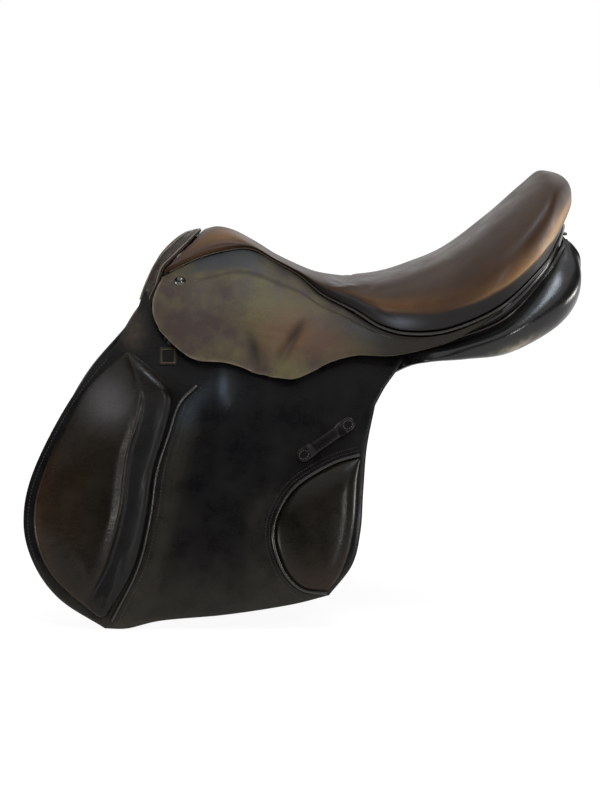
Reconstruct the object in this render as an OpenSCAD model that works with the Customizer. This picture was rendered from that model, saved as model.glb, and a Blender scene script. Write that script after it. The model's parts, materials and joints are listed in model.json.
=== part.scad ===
// Jumping saddle: a forward-cut riding saddle with padded flaps, skirts, panels, a tree,
// stirrup bars and girth straps. +X points to the cantle, -Y to the near side, +Z up.
// The origin lies on the centre plane, where the horse's back carries the panels.

/* [Flaps] */
// Half width between the outer faces of the flaps at the height of the origin
flap_half_width = 110; // [104:0.5:118]
// Outward run of the flap for each unit of drop at the height of the origin
flap_splay = 0.48; // [0.4:0.01:0.56]
// Radius of the flap's bow from top to bottom
flap_bow_radius = 1000; // [800:10:1600]
// Thickness of the flap leather
flap_t = 4; // [3:0.1:5]
// Gap along the line where the flap folds
fold_gap = 0.35; // [0.3:0.05:1]
// Crown height of the knee pad's roll
knee_crown = 18; // [10:0.5:24]
// Crown height of the knee pad's rear shelf
knee_shelf = 7; // [4:0.5:9]
// Crown height of the thigh pad
thigh_crown = 11; // [6:0.5:15]
// Diameter of the piping on the flap
flap_welt_d = 4; // [3:0.25:5]

/* [Seat] */
// Thickness of the seat leather
seat_leather_t = 2.2; // [1.6:0.1:3]
// Thickness of the foam under the seat leather
seat_foam_t = 17; // [12:0.5:18]
// Diameter of the piping round the seat
seat_welt_d = 3.6; // [3:0.1:4.4]
// Height of the leather strip behind the cantle
cantle_strip_h = 12; // [8:0.5:14]

/* [Skirts] */
// Thickness of the skirt leather
skirt_t = 3; // [2:0.1:4]
// Outward swell of the skirt between its seam and its edge
skirt_swell = 9; // [6:0.5:12]
// Diameter of the domed nail head on the skirt
nail_head_d = 13; // [9:0.5:16]
// Diameter of the nail's shank
nail_shank_d = 4; // [3:0.25:5]

/* [Panels] */
// Thickness of the sweat flap leather
sweat_flap_t = 3; // [2:0.1:3.6]
// Room between flap and sweat flap where the girth straps hang
strap_room = 23; // [22.5:0.25:26]
// Room between flap and sweat flap at the knee
knee_room = 9; // [8:0.5:14]
// Diameter of the piping round the panels
panel_welt_d = 4; // [3:0.25:5]
// Thickness of the lining in the channel between the panels
lining_t = 1.6; // [1:0.1:2]

/* [Tree] */
// Width of the wooden head arch, front to back
head_w = 34; // [26:1:38]
// Thickness of the wooden head arch
head_t = 9; // [7:0.5:10]
// Width of a rail
rail_w = 32; // [24:1:36]
// Thickness of a rail
rail_t = 8; // [6:0.5:9]
// Thickness of the steel plate under the head arch
gullet_plate_t = 3; // [2:0.25:4]
// Width of the steel plate under the head arch
gullet_plate_w = 24; // [18:1:30]
// Thickness of the steel strip under a rail
spring_t = 1.5; // [1:0.1:2]
// Width of the steel strip under a rail
spring_w = 18; // [12:1:24]
// Thickness of the seat webbing
web_t = 1.4; // [1:0.1:1.8]
// Width of a length of seat webbing
web_w = 36; // [26:1:44]

/* [Stirrup bars] */
// Diameter of the bar that carries the stirrup leather
bar_d = 8; // [7:0.25:9]
// Length of the bar that the stirrup leather hangs on
bar_l = 52; // [46:1:58]
// Slot between the bar and its plate, for the stirrup leather
bar_slot = 6.6; // [6.4:0.1:7.4]
// Thickness of the bar's plate
bar_plate_t = 3; // [2.5:0.25:3.5]
// Height of the bar's plate
bar_plate_h = 30; // [26:1:34]
// Diameter of the catch's pin
catch_pin_d = 3; // [2.5:0.1:3.5]
// Thickness of the catch's tongue
catch_t = 3; // [2.5:0.1:3.4]
// Length of the catch from its pin to its tip
catch_l = 20; // [16:1:24]
// Radial clearance of the catch on its pin
pin_clearance = 0.06; // [0.02:0.01:0.1]
// Diameter of a rivet's head
rivet_head_d = 8; // [6:0.5:9]

/* [Girth straps] */
// Width of a girth strap
strap_w = 25; // [22:0.5:26]
// Thickness of a girth strap
strap_t = 4; // [3:0.1:4.4]
// Length of a girth strap
strap_l = 222; // [205:1:230]
// Distance between the middles of neighbouring straps
strap_pitch = 38; // [36:0.5:40]
// Diameter of a buckle hole
hole_d = 6; // [5:0.25:7]
// Distance between buckle holes
hole_pitch = 20; // [18:0.5:22]
// Number of buckle holes in a strap
hole_count = 6; // [4:1:6]
// Height of the buckle guard
guard_h = 54; // [40:1:60]
// Wall of the buckle guard
guard_wall = 2; // [1.5:0.1:2.4]
// Room between a strap and its slot in the guard
guard_clearance = 0.6; // [0.4:0.05:0.8]

/* [Fittings] */
// Wire of the dee ring
dee_wire_d = 3; // [2.5:0.1:3.4]
// Inside width of the dee ring
dee_w = 20; // [16:0.5:22]
// Inside height of the dee ring
dee_h = 12; // [10:0.5:14]
// Width of the keeper strap on the flap
keeper_w = 14; // [10:0.5:16]
// Thickness of the keeper strap
keeper_t = 2.4; // [1.8:0.1:3]
// Room under the keeper strap
keeper_gap = 5; // [4.2:0.1:6]
// Gap between layers that lie on each other
lay_gap = 0.4; // [0.3:0.05:0.6]

/* [Hidden] */
$fn = 48;
LEATHER_DARK = "#1c1714";
LEATHER_BROWN = "#3a2a20";
LEATHER_OLIVE = "#4b4335";
STEEL = "#b9bcc0";

// Curves and surfaces

function lerp(a, b, t) = a + (b - a) * t;
function unit(v) = v / norm(v);
function clamp01(t) = max(0, min(1, t));
function smooth(a, b, x) = let (t = clamp01((x - a) / (b - a))) t * t * (3 - 2 * t);
function flat_list(rows) = [for (row = rows) for (p = row) p];
function bump(t, power) = pow(max(0, sin(180 * t)), power);
function row(n) = [for (i = [0 : n]) i / n];

// Smooth curve through the points p, with t from 0 to 1
function spline(p, t) =
    let (n = len(p) - 1, s = clamp01(t) * n, i = min(floor(s), n - 1), f = s - i,
         p1 = p[i], p2 = p[i + 1],
         p0 = i > 0 ? p[i - 1] : 2 * p1 - p2,
         p3 = i + 2 <= n ? p[i + 2] : 2 * p2 - p1)
    0.5 * (2 * p1 + (p2 - p0) * f + (2 * p0 - 5 * p1 + 4 * p2 - p3) * f * f
           + (3 * p1 - p0 - 3 * p2 + p3) * f * f * f);

// Patch between four edges: u runs front to rear, v top to bottom
function patch(top, bottom, front, rear, u, v) =
    let (a = top[0], b = top[len(top) - 1], c = bottom[0], d = bottom[len(bottom) - 1])
    (1 - v) * spline(top, u) + v * spline(bottom, u) + (1 - u) * spline(front, v) + u * spline(rear, v)
    - (1 - u) * (1 - v) * a - u * (1 - v) * b - (1 - u) * v * c - u * v * d;

// Closed solid between an outer and an inner skin that share faces and a rim
module shell(outer, inner, faces, rim) {
    n = len(outer);
    back = [for (f = faces) [f[2] + n, f[1] + n, f[0] + n]];
    wall = [for (k = [0 : len(rim) - 1]) let (i = rim[k], j = rim[(k + 1) % len(rim)])
            for (f = [[j, i, i + n], [j, i + n, j + n]]) f];
    polyhedron(concat(outer, inner), concat(faces, back, wall));
}

// Sheet between two grids of points, given as rows from top to bottom
module sheet(outer, inner) {
    nr = len(outer);
    nc = len(outer[0]);
    faces = [for (r = [0 : nr - 2], c = [0 : nc - 2]) let (a = r * nc + c)
             for (f = [[a, a + 1, a + nc + 1], [a, a + nc + 1, a + nc]]) f];
    rim = concat([for (c = [0 : nc - 2]) c], [for (r = [0 : nr - 2]) r * nc + nc - 1],
                 [for (c = [nc - 1 : -1 : 1]) (nr - 1) * nc + c], [for (r = [nr - 1 : -1 : 1]) r * nc]);
    shell(flat_list(outer), flat_list(inner), faces, rim);
}

// Solid through a row of rings, each anticlockwise seen from the last ring
module loft(rings) {
    n = len(rings[0]);
    m = len(rings);
    side = [for (i = [0 : m - 2], j = [0 : n - 1]) let (a = i * n + j, b = i * n + (j + 1) % n)
            for (f = [[a, a + n, b + n], [a, b + n, b]]) f];
    ends = [for (j = [1 : n - 2]) for (f = [[0, j, j + 1],
            [(m - 1) * n, (m - 1) * n + j + 1, (m - 1) * n + j]]) f];
    polyhedron(flat_list(rings), concat(side, ends));
}

// Section carried along a path, with its second axis held towards lift
function swept(path, section, lift) =
    [for (i = [0 : len(path) - 1])
     let (t = unit(path[min(i + 1, len(path) - 1)] - path[max(i - 1, 0)]),
          up = is_list(lift[0]) ? lift[i] : lift,
          n = unit(cross(up, t)), b = cross(t, n))
     [for (s = section) path[i] + s[0] * n + s[1] * b]];
function round_section(d, sides) = [for (k = [0 : sides - 1]) d / 2 * [cos(360 * k / sides), sin(360 * k / sides)]];
function flat_section(w, t) = [[w, t] / 2, [-w, t] / 2, [-w, -t] / 2, [w, -t] / 2];
module tube(path, d, lift) loft(swept(path, round_section(d, 8), lift));
module strip(path, w, t, lift) loft(swept(path, flat_section(w, t), lift));
module far_side() mirror([0, 1, 0]) children();

// Side surface that the flaps follow, as a half width at a height
function flap_h(z) = flap_half_width - flap_splay * z - z * z / (2 * flap_bow_radius);
// Point on the near side, a distance in from the flap's outer face
function side_point(p, depth) = [p[0], -(flap_h(p[1]) - depth), p[1]];
// Room under the flap's outer face, down to the sweat flap's outer face
function under_room(x) = lerp(knee_room, strap_room, smooth(-215, -140, x));
module side_sheet(points, depth, t)
    sheet([for (r = points) [for (p = r) side_point(p, depth)]],
          [for (r = points) [for (p = r) side_point(p, depth + t)]]);

// Frame on the near side at a height: x to the rear, -y outwards, z up along the flap
function slope_at(z) = atan(flap_splay + z / flap_bow_radius);
module at_side(x, z, depth) translate(side_point([x, z], depth)) rotate([-slope_at(z), 0, 0]) children();

// Seat

// Seam of the seat on the near side as x, half width and height, from pommel to cantle
SEAM = [[-203, 67, 89], [-163, 50, 107], [-129, 42, 115], [-106, 40, 115], [-82, 42, 102], [-55, 48, 87],
        [-31, 66, 69], [3, 88, 54], [31, 106, 38], [62, 124, 32], [104, 138, 37], [157, 142, 61],
        [200, 116, 98], [219, 80, 121], [233, 0, 141]];
// Middle line of the seat as x and height, point for point with the seam
CREST = [[-161, 133], [-145, 136.5], [-126, 132], [-106, 121], [-80, 105], [-55, 92.6],
         [-33, 85], [0, 81.5], [33, 85], [62, 94], [104, 112], [150, 148],
         [185, 180], [200, 193], [209, 197]];
// Height of the seat's side wall above the seam, point for point
WALL = [5, 4, 3, 2, 2, 3, 7, 13, 17, 20, 22, 28, 28, 29, 31];
// Reach of the seat's widest line beyond the seam, point for point
ROLL = [2, 2, 2, 2, 2, 2, 3, 4, 5, 5, 5, 4, 2, 4, 8];
wall_share = 0.78;

// Both lines run on past the centre plane as mirror images, so that they cross it square
seam_n = len(SEAM) - 1;
SEAM_ON = concat(SEAM, [[SEAM[seam_n - 1][0], -SEAM[seam_n - 1][1], SEAM[seam_n - 1][2]]]);
CREST_ON = concat(CREST, [CREST[seam_n - 1]]);
function seam_point(t) = let (p = spline(SEAM_ON, t * seam_n / (seam_n + 1))) [p[0], -p[1], p[2]];
function crest_point(t) = spline(CREST_ON, t * seam_n / (seam_n + 1));
// Level direction out of the seam
function seam_out(t) =
    let (d = seam_point(min(1, t + 0.01)) - seam_point(max(0, t - 0.01)))
    t > 0.999 ? [1, 0, 0] : unit([d[1] > 0 ? d[1] : 0, -abs(d[0]), 0]);
function seat_edge(t) = seam_point(t) + spline(ROLL, t) * seam_out(t) + [0, 0, spline(WALL, t)];
// Point on the seat at t along it and v from its middle line to its seam
function seat_skin(t, v) =
    let (c = crest_point(t), e = seat_edge(t), w = seam_point(t),
         k = smooth(0, 0.15, t),
         a = 90 * min(1, v / wall_share), g = clamp01((v - wall_share) / (1 - wall_share)),
         wide = pow(sin(a), 0.9), bend = pow(sin(a), 1.9),
         along = lerp(bend, wide, k), fall = lerp(bend, 1 - pow(cos(a), 0.9), k))
    g > 0 ? lerp(e, w, pow(g, 1.5)) : [lerp(c[0], e[0], along), e[1] * wide, lerp(c[1], e[2], fall)];
function seat_heart(t) = let (c = crest_point(t)) [min(c[0], 190), 0, c[1] - 75];
function seat_point(t, v, depth) = let (p = seat_skin(t, v)) p - depth * unit(p - seat_heart(t));

// Shell of the seat from one depth to another, over the middle line from side to side
module seat_layer(depth, t, nt, nv, v_end) {
    cols = 2 * nt;
    function at(r, c, d) = let (k = min(c, cols - c), p = seat_point(k / nt, r / nv * v_end, d))
        c <= nt ? p : [p[0], -p[1], p[2]];
    function id(r, c) = r == 0 ? min(c, cols - c) : nt + 1 + (r - 1) * (cols + 1) + c;
    function skin(d) = concat([for (c = [0 : nt]) at(0, c, d)], [for (r = [1 : nv], c = [0 : cols]) at(r, c, d)]);
    faces = [for (r = [0 : nv - 1], c = [0 : cols - 1])
             for (f = [[id(r, c), id(r, c + 1), id(r + 1, c + 1)], [id(r, c), id(r + 1, c + 1), id(r + 1, c)]])
             if (f[0] != f[1] && f[1] != f[2] && f[0] != f[2]) f];
    rim = concat([for (r = [nv : -1 : 0]) id(r, 0)], [for (r = [1 : nv]) id(r, cols)],
                 [for (c = [cols - 1 : -1 : 1]) id(nv, c)]);
    shell(skin(depth), skin(depth + t), faces, rim);
}
seat_nt = 24;
seat_nv = 9;
foam_depth = seat_leather_t + lay_gap;
seat_web_depth = foam_depth + seat_foam_t + 7;

module seat_cover() color(LEATHER_BROWN) seat_layer(0, seat_leather_t, seat_nt, seat_nv, 1);
module seat_foam() color("khaki") seat_layer(foam_depth, seat_foam_t, seat_nt, 5, 5 / seat_nv);

// Piping under the seat's seam, round the cantle from one side to the other
function near_then_far(near) =
    concat(near, [for (i = [len(near) - 2 : -1 : 0]) [near[i][0], -near[i][1], near[i][2]]]);
welt_drop = 0.78 * seat_welt_d + lay_gap;
module seat_welt() color(LEATHER_DARK)
    tube(near_then_far([for (t = row(26)) seam_point(lerp(0.012, 1, t)) - [0, 0, welt_drop]]), seat_welt_d, [0, 0, 1]);

// Pommel cover

cover_t = 2;
arch_lip = 9;
seam_step = 2;
// Front edge of the head arch on the near side, from its top down to the flap
ARCH = [[-177, 0, 128], [-180, -12, 127], [-188, -25, 122], [-199, -37, 112], [-210, -48, 99], [-218, -58, 84],
        [-224, -69.4, 69], [-228, -77, 55]];
// Line where the cover meets the seat and then runs in under the flap
COVER_BACK = concat([for (v = [0, 0.22, 0.44, 0.66, 0.97]) seat_point(0, v, 0) - [seam_step, 0, 0]],
                    [[-209, -64, 76], [-214, -68.2, 66], [-219, -74.2, 55]]);
ARCH_ALL = concat([for (i = [7 : -1 : 1]) ARCH[i]], [for (p = ARCH) [p[0], -p[1], p[2]]]);
BACK_ALL = concat([for (i = [7 : -1 : 1]) COVER_BACK[i]], [for (p = COVER_BACK) [p[0], -p[1], p[2]]]);
// Rows from the back line over the arch's edge and in under it, from the near side to the far side
function cover_point(s, r, d) =
    let (a = spline(BACK_ALL, s), b = spline(ARCH_ALL, s), k = 2 * s - 1, out = unit([-0.5, 0.9 * k, 1.3 - abs(k)]))
    r == 0 ? a - d * out
    : r == 1 ? lerp(a, b, 0.5) + (2.5 - d) * out
    : r == 2 ? b + [d * 0.7, 0, 0] - d * 0.7 * out
    : b + [arch_lip + d * 0.3, 0, 0] - (arch_lip * 0.7 + d) * out;
module pommel_cover() color(LEATHER_DARK)
    sheet([for (r = [0 : 3]) [for (s = row(24)) cover_point(s, r, 0)]],
          [for (r = [0 : 3]) [for (s = row(24)) cover_point(s, r, cover_t)]]);

// Cantle strip, the leather band between the seat's piping and the panels
strip_start = 0.8;
strip_t = 2.4;
function strip_point(t, drop, depth) =
    seam_point(t) - [0, 0, 2 * welt_drop + lay_gap + drop]
    - (depth + 3.5 * drop / cantle_strip_h) * seam_out(t);
module cantle_strip() {
    near = [for (k = row(11)) lerp(strip_start, 1, k)];
    function band(depth) = [for (drop = [0, cantle_strip_h / 2, cantle_strip_h])
        near_then_far([for (t = near) strip_point(t, drop, depth)])];
    color(LEATHER_DARK) sheet(band(0), band(strip_t));
}

// Small steel staple at the back of the cantle
staple_wire_d = 3;
module rear_staple() color(STEEL) {
    at = strip_point(1, cantle_strip_h / 2, 0) + [lay_gap, 0, 0];
    for (s = [-1, 1])
        translate(at + [0, s * 9, 0]) rotate([0, 90, 0]) cylinder(d = staple_wire_d, h = 5);
    translate(at + [5 - staple_wire_d / 2, -9, 0]) rotate([-90, 0, 0]) cylinder(d = staple_wire_d, h = 18);
}

// Panels

// Half width at which the panel's lower edge is sewn to the sweat flap
function sewn_h(x, z) = flap_h(z) - under_room(x) - sweat_flap_t - sewn_gap;
sewn_gap = 0.5;
// Sections of the near panel from front to rear, as x, half width and height:
// top by the channel, top, upper outside, outside, lower edge, bearing face, bearing face by the channel
PANEL = [
    [[-204, 32, 88], [-211, 40, 79], [-223, 50, 62], [-241, 70, 26], [-262, 92, -20], [-246, 70, 6], [-212, 34, 70]],
    [[-188, 33, 82], [-194, 42, 72], [-208, 54, 50], [-240, 88, -20], [-264, sewn_h(-264, -82) - 0.6, -82], [-234, 66, -28], [-194, 33, 55]],
    [[-140, 34, 70], [-142, 46, 60], [-150, 58, 38], [-170, 86, -28], [-190, sewn_h(-190, -104) - 5.6, -104], [-166, 62, -40], [-140, 33, 42]],
    [[-75, 34, 55], [-76, 48, 48], [-78, 62, 33], [-84, 86, -24], [-96, sewn_h(-96, -88) - 2, -88], [-85, 58, -36], [-76, 33, 24]],
    [[-15, 34, 42], [-15, 54, 36], [-15, 68, 19], [-15, 84, -18], [-20, sewn_h(-20, -58), -58], [-15, 58, -26], [-15, 33, 10]],
    [[50, 34, 42], [50, 66, 32], [50, 84, 19], [50, 91, 2], [48, 92, -16], [50, 64, -8], [50, 33, 10]],
    [[80, 35, 50], [80, 80, 38], [80, 116, 18], [80, 134, 8], [80, 136, -1], [80, 90, 2], [80, 35, 18]],
    [[120, 37, 62], [120, 85, 48], [120, 126, 26], [120, 146, 16], [120, 140, 2], [120, 90, 8], [120, 37, 28]],
    [[162, 40, 82], [163, 82, 70], [166, 118, 46], [167, 144, 33], [166, 134, 14], [163, 88, 22], [162, 40, 44]],
    [[202, 42, 102], [203, 74, 94], [208, 98, 74], [212, 126, 56], [208, 112, 34], [204, 78, 42], [202, 42, 62]],
    [[224, 46, 110], [227, 62, 104], [233, 76, 96], [238, 94, 78], [235, 84, 58], [228, 66, 64], [224, 46, 78]],
    [[236, 54, 106], [238, 60, 104], [240, 66, 98], [242, 70, 90], [241, 66, 80], [238, 60, 78], [236, 54, 86]]
];
section_n = 7;
function panel_loop(u) = [for (k = [0 : section_n - 1])
    let (p = spline([for (s = PANEL) s[k]], u)) [p[0], -p[1], p[2]]];
function closed_spline(p, t) =
    let (n = len(p), s = t * n, i = floor(s) % n, f = s - floor(s), p0 = p[(i + n - 1) % n], p1 = p[i],
         p2 = p[(i + 1) % n], p3 = p[(i + 2) % n])
    0.5 * (2 * p1 + (p2 - p0) * f + (2 * p0 - 5 * p1 + 4 * p2 - p3) * f * f
           + (3 * p1 - p0 - 3 * p2 + p3) * f * f * f);
panel_sides = 14;
function panel_point(u, t) = closed_spline(panel_loop(u), t);
module near_panel() color(LEATHER_DARK)
    loft([for (u = row(24)) [for (k = [0 : panel_sides - 1]) panel_point(u, k / panel_sides)]]);
module left_panel() near_panel();
module right_panel() far_side() near_panel();

// Piping along the upper outer edge of the panel behind the flap
piping_start = 0.53;
module near_piping() color(LEATHER_DARK)
    tube([for (k = row(18)) panel_point(lerp(piping_start, 0.95, k), 2 / section_n)], panel_welt_d, [0, -1, 0.3]);
module panel_piping() {
    near_piping();
    far_side() near_piping();
}

// Lining that closes the channel between the panels from above
lining_crown = 9;
module channel_lining() {
    function arc(u, d) = let (p = panel_point(u, 0))
        [for (s = row(6)) [p[0], lerp(p[1], -p[1], s) * 0.98, p[2] + 1.5 + lining_crown * bump(s, 0.8) - d]];
    rows = [for (k = row(14)) lerp(0.07, 0.86, k)];
    color("#2a2521")
        sheet([for (k = [6 : -1 : 0]) [for (u = rows) arc(u, 0)[k]]],
              [for (k = [6 : -1 : 0]) [for (u = rows) arc(u, lining_t)[k]]]);
}

// Sweat flaps

SWEAT_TOP = [[-249, -2], [-165, -24], [-75, -33], [10, -30]];
SWEAT_FRONT = [[-249, -2], [-296, -64], [-331, -130], [-330, -190], [-262, -255]];
SWEAT_REAR = [[10, -30], [-2, -86], [-4, -150], [-40, -226]];
SWEAT_BOTTOM = [[-262, -255], [-190, -250], [-110, -242], [-40, -226]];
module near_sweat_flap() color(LEATHER_DARK) {
    points = [for (v = row(11)) [for (u = row(10)) patch(SWEAT_TOP, SWEAT_BOTTOM, SWEAT_FRONT, SWEAT_REAR, u, v)]];
    sheet([for (r = points) [for (p = r) side_point(p, under_room(p[0]))]],
          [for (r = points) [for (p = r) side_point(p, under_room(p[0]) + sweat_flap_t)]]);
}
module left_sweat_flap() near_sweat_flap();
module right_sweat_flap() far_side() near_sweat_flap();

// Flaps

// Line where the flap folds when it is lifted, as x and height
FOLD_FRONT = [-252, 17];
FOLD_REAR = [25, -47];
HEAD_TOP = [[-221, 72], [-210, 44], [-190, 14], [-150, 2], [-105, -4], [-55, 8], [0, 22], [57, 5]];
HEAD_FRONT = [[-221, 72], [-230, 51], [-243, 32], FOLD_FRONT];
HEAD_REAR = [[57, 5], [50, -9], [36, -28], FOLD_REAR];
FLAP_FRONT = [FOLD_FRONT, [-299, -40], [-337, -113], [-347, -165], [-336, -208], [-308, -245], [-260, -275]];
FLAP_BOTTOM = [[-260, -275], [-236, -275], [-200, -267], [-133, -261], [-66, -251], [-24.5, -241]];
FLAP_REAR = [FOLD_REAR, [16, -90], [12, -135], [9, -175], [0, -210], [-24.5, -241]];
FOLD = [FOLD_FRONT, FOLD_REAR];
module near_flap() color(LEATHER_DARK)
    side_sheet([for (v = row(13)) [for (u = row(13)) patch(FOLD, FLAP_BOTTOM, FLAP_FRONT, FLAP_REAR, u, v)]], 0, flap_t);
module near_flap_head() color(LEATHER_DARK)
    side_sheet([for (v = row(5)) [for (u = row(20))
        patch(HEAD_TOP, FOLD, HEAD_FRONT, HEAD_REAR, u, v) + [0, fold_gap]]], 0, flap_t);
module left_flap() near_flap();
module right_flap() far_side() near_flap();
module left_flap_head() near_flap_head();
module right_flap_head() far_side() near_flap_head();

// Padded piece on the flap between a front and a rear edge that meet at its ends
module flap_pad(front, rear, nu, nv, crown) {
    points = [for (v = row(nv)) let (s = lerp(0.015, 0.985, v)) [for (u = row(nu)) lerp(spline(front, s), spline(rear, s), u)]];
    sheet([for (r = [0 : nv]) [for (c = [0 : nu]) side_point(points[r][c], -lay_gap - crown(c / nu, r / nv))]],
          [for (r = points) [for (p = r) side_point(p, -lay_gap)]]);
}

// Knee pad: a roll in front that steps down to a shelf along its rear seam
KNEE_FRONT = [[-240, 11], [-280, -28], [-307, -73], [-325, -110], [-336, -150], [-333, -188], [-312, -226], [-262, -267]];
KNEE_REAR = [[-240, 11], [-211, -12], [-193, -36], [-201, -75], [-213, -115], [-219, -160], [-232, -212], [-260, -266]];
pad_edge = 1.6;
ridge_at = 0.72;
function knee_profile(u) = knee_crown * pow(clamp01(sin(180 * min(0.5, u / ridge_at * 0.62))), 0.7)
    * (1 - (1 - knee_shelf / knee_crown) * smooth(ridge_at - 0.09, ridge_at + 0.05, u)) * (1 - smooth(0.94, 1, u));
function knee_crown_at(u, v) = pad_edge + knee_profile(u) * bump(v, 0.45);
module near_knee_pad() color(LEATHER_BROWN)
    flap_pad(KNEE_FRONT, KNEE_REAR, 14, 15, function (u, v) knee_crown_at(u, v));
module left_knee_pad() near_knee_pad();
module right_knee_pad() far_side() near_knee_pad();

// Piping on the flap, its centre line a little off the leather
module flap_piping(line, n) color(LEATHER_DARK)
    tube([for (t = row(n)) side_point(spline(line, t), -flap_welt_d / 2 - lay_gap)], flap_welt_d, [0, -1, 0.4]);
welt_gap = flap_welt_d / 2 + 0.8;
KNEE_SEAM = [[-168, -26], [-187, -46], [-198, -78], [-210, -116], [-216, -160], [-229, -213], [-256, -267]];
module near_knee_welt() flap_piping([for (p = KNEE_SEAM) p + [welt_gap, -0.4]], 22);
module left_knee_welt() near_knee_welt();
module right_knee_welt() far_side() near_knee_welt();

// Thigh pad: a teardrop at the lower rear of the flap
THIGH_FRONT = [[9, -100], [-20, -109], [-57, -131], [-76, -158], [-80, -184], [-70, -214], [-52, -232], [-26, -236]];
THIGH_REAR = [[9, -100], [6, -120], [5, -140], [4, -160], [1, -180], [-4, -200], [-13, -220], [-26, -236]];
function thigh_crown_at(u, v) = pad_edge + thigh_crown * bump(u, 0.6) * bump(v, 0.5);
module near_thigh_pad() color(LEATHER_DARK)
    flap_pad(THIGH_FRONT, THIGH_REAR, 9, 12, function (u, v) thigh_crown_at(u, v));
module left_thigh_pad() near_thigh_pad();
module right_thigh_pad() far_side() near_thigh_pad();
module near_thigh_welt()
    flap_piping([for (p = THIGH_FRONT) p + [-welt_gap, p[1] > -120 ? welt_gap : p[1] < -210 ? -welt_gap : 0]], 20);
module left_thigh_welt() near_thigh_welt();
module right_thigh_welt() far_side() near_thigh_welt();

// Keeper: a short strap sewn at its ends, with a loop between
KEEPER_LOW = [-57, -101];
KEEPER_HIGH = [2, -62];
module near_keeper() color(LEATHER_DARK)
    strip([for (t = row(14)) side_point(lerp(KEEPER_LOW, KEEPER_HIGH, t),
            -0.6 - lay_gap - keeper_t / 2 - keeper_gap * smooth(0.16, 0.34, t) * (1 - smooth(0.66, 0.84, t)))],
          keeper_w, keeper_t, [0, -1, 0.4]);
module left_keeper() near_keeper();
module right_keeper() far_side() near_keeper();

// Skirts

// Lower edge of the skirt as x and height, from the front to the tail
SKIRT_EDGE = [[-205, 31], [-186, 13], [-165, 1], [-133, -2], [-98, -12], [-66, -19], [-42, -11], [-22, -1],
              [6, 6], [40, 6], [72, 12], [104, 22], [134, 39], [158, 57]];
// Half width of that edge beyond the flap's face, point for point
SKIRT_OUT = [11, 12, 12, 12, 12, 12, 12, 12, 14, 20, 29, 44, 56, 64];
SKIRT_FRONT = [[-203, -68, 84], [-209, -79, 74], [-213, -89, 61], [-212, -97, 46]];
skirt_tail = 0.787;
skirt_seam_drop = 2 * welt_drop;
function skirt_edge_point(i) = let (p = SKIRT_EDGE[i]) [p[0], -(flap_h(p[1]) + SKIRT_OUT[i]), p[1]];
SKIRT_BOTTOM = [for (i = [0 : len(SKIRT_EDGE) - 1]) skirt_edge_point(i)];
SKIRT_TOP = [for (k = row(13)) seam_point(skirt_tail * k) - [0, 0, skirt_seam_drop]];
SKIRT_FRONT_EDGE = concat([SKIRT_TOP[0]], [for (i = [1 : 3]) SKIRT_FRONT[i]], [SKIRT_BOTTOM[0]]);
SKIRT_REAR_EDGE = [SKIRT_TOP[13], SKIRT_BOTTOM[13]];
function skirt_point(u, v, depth) =
    patch(SKIRT_TOP, SKIRT_BOTTOM, SKIRT_FRONT_EDGE, SKIRT_REAR_EDGE, u, v)
    + (skirt_swell * bump(v, 0.8) * (1 - smooth(0.45, 0.75, u)) * smooth(0, 0.12, u) - depth) * [0, -0.86, 0.5];
// Axis that the free lower part of the skirt bends about, on its outer face
SKIRT_AXIS_FRONT = [-214, -92, 61];
SKIRT_AXIS_REAR = [34, -122, 7];
skirt_axis_gap = 3.2;
bend_lead = 60;
bend_tail = 15;
bend_reach = 150;
bend_drop = 200;
module skirt_sheet()
    sheet([for (v = row(8)) [for (u = row(24)) skirt_point(u, v, 0)]],
          [for (v = row(8)) [for (u = row(24)) skirt_point(u, v, skirt_t)]]);
// Half space below the bend line, its top a plane square to the skirt
module below_bend(lower) {
    d = SKIRT_AXIS_REAR - SKIRT_AXIS_FRONT;
    turn = atan2(d[1], d[0]);
    dip = -atan2(d[2], norm([d[0], d[1]]));
    translate(SKIRT_AXIS_FRONT) rotate([0, dip, turn]) rotate([-30, 0, 0])
        translate([-bend_lead, -bend_reach, -bend_drop - lower])
            cube([norm(d) + bend_lead + bend_tail, 2 * bend_reach, bend_drop]);
}
module near_skirt() color(LEATHER_OLIVE) intersection() {
    skirt_sheet();
    below_bend(skirt_axis_gap);
}
module near_skirt_top() color(LEATHER_OLIVE) difference() {
    skirt_sheet();
    below_bend(0);
}
module left_skirt() near_skirt();
module right_skirt() far_side() near_skirt();
module left_skirt_top() near_skirt_top();
module right_skirt_top() far_side() near_skirt_top();

// Domed nail through the skirt into the head arch
NAIL_AT = [-184, 81];
nail_lift = 8.4;
nail_l = 9;
module near_nail() color(STEEL) at_side(NAIL_AT[0], NAIL_AT[1], -nail_lift) rotate([90, 0, 0]) {
    intersection() {
        translate([0, 0, -nail_head_d * 0.22]) sphere(d = nail_head_d * 1.1);
        cylinder(d = nail_head_d, h = nail_head_d);
    }
    translate([0, 0, -nail_l]) cylinder(d = nail_shank_d, h = nail_l);
}
module skirt_nails() {
    near_nail();
    far_side() near_nail();
}

// Tree

HEAD_DEPTH = 16;
HEAD_Z = [-6, 12, 30, 50, 67];
head_x = -188;
head_lean = 0.12;
HEAD_CROWN = [[-178, -43, 85], [-175, -25, 99], [-174, 0, 105]];
// Middle of the wooden head arch from the near point's tip to its top
HEAD_PATH = concat([for (z = HEAD_Z) [head_x + head_lean * z, -(flap_h(z) - HEAD_DEPTH), z]], HEAD_CROWN);
head_line = near_then_far(HEAD_PATH);
head_lift = near_then_far(concat([for (z = HEAD_Z) [0, -cos(slope_at(z)), sin(slope_at(z))]],
                                 [[0, -0.75, 0.66], [0, -0.45, 0.9], [0, 0, 1]]));
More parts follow.
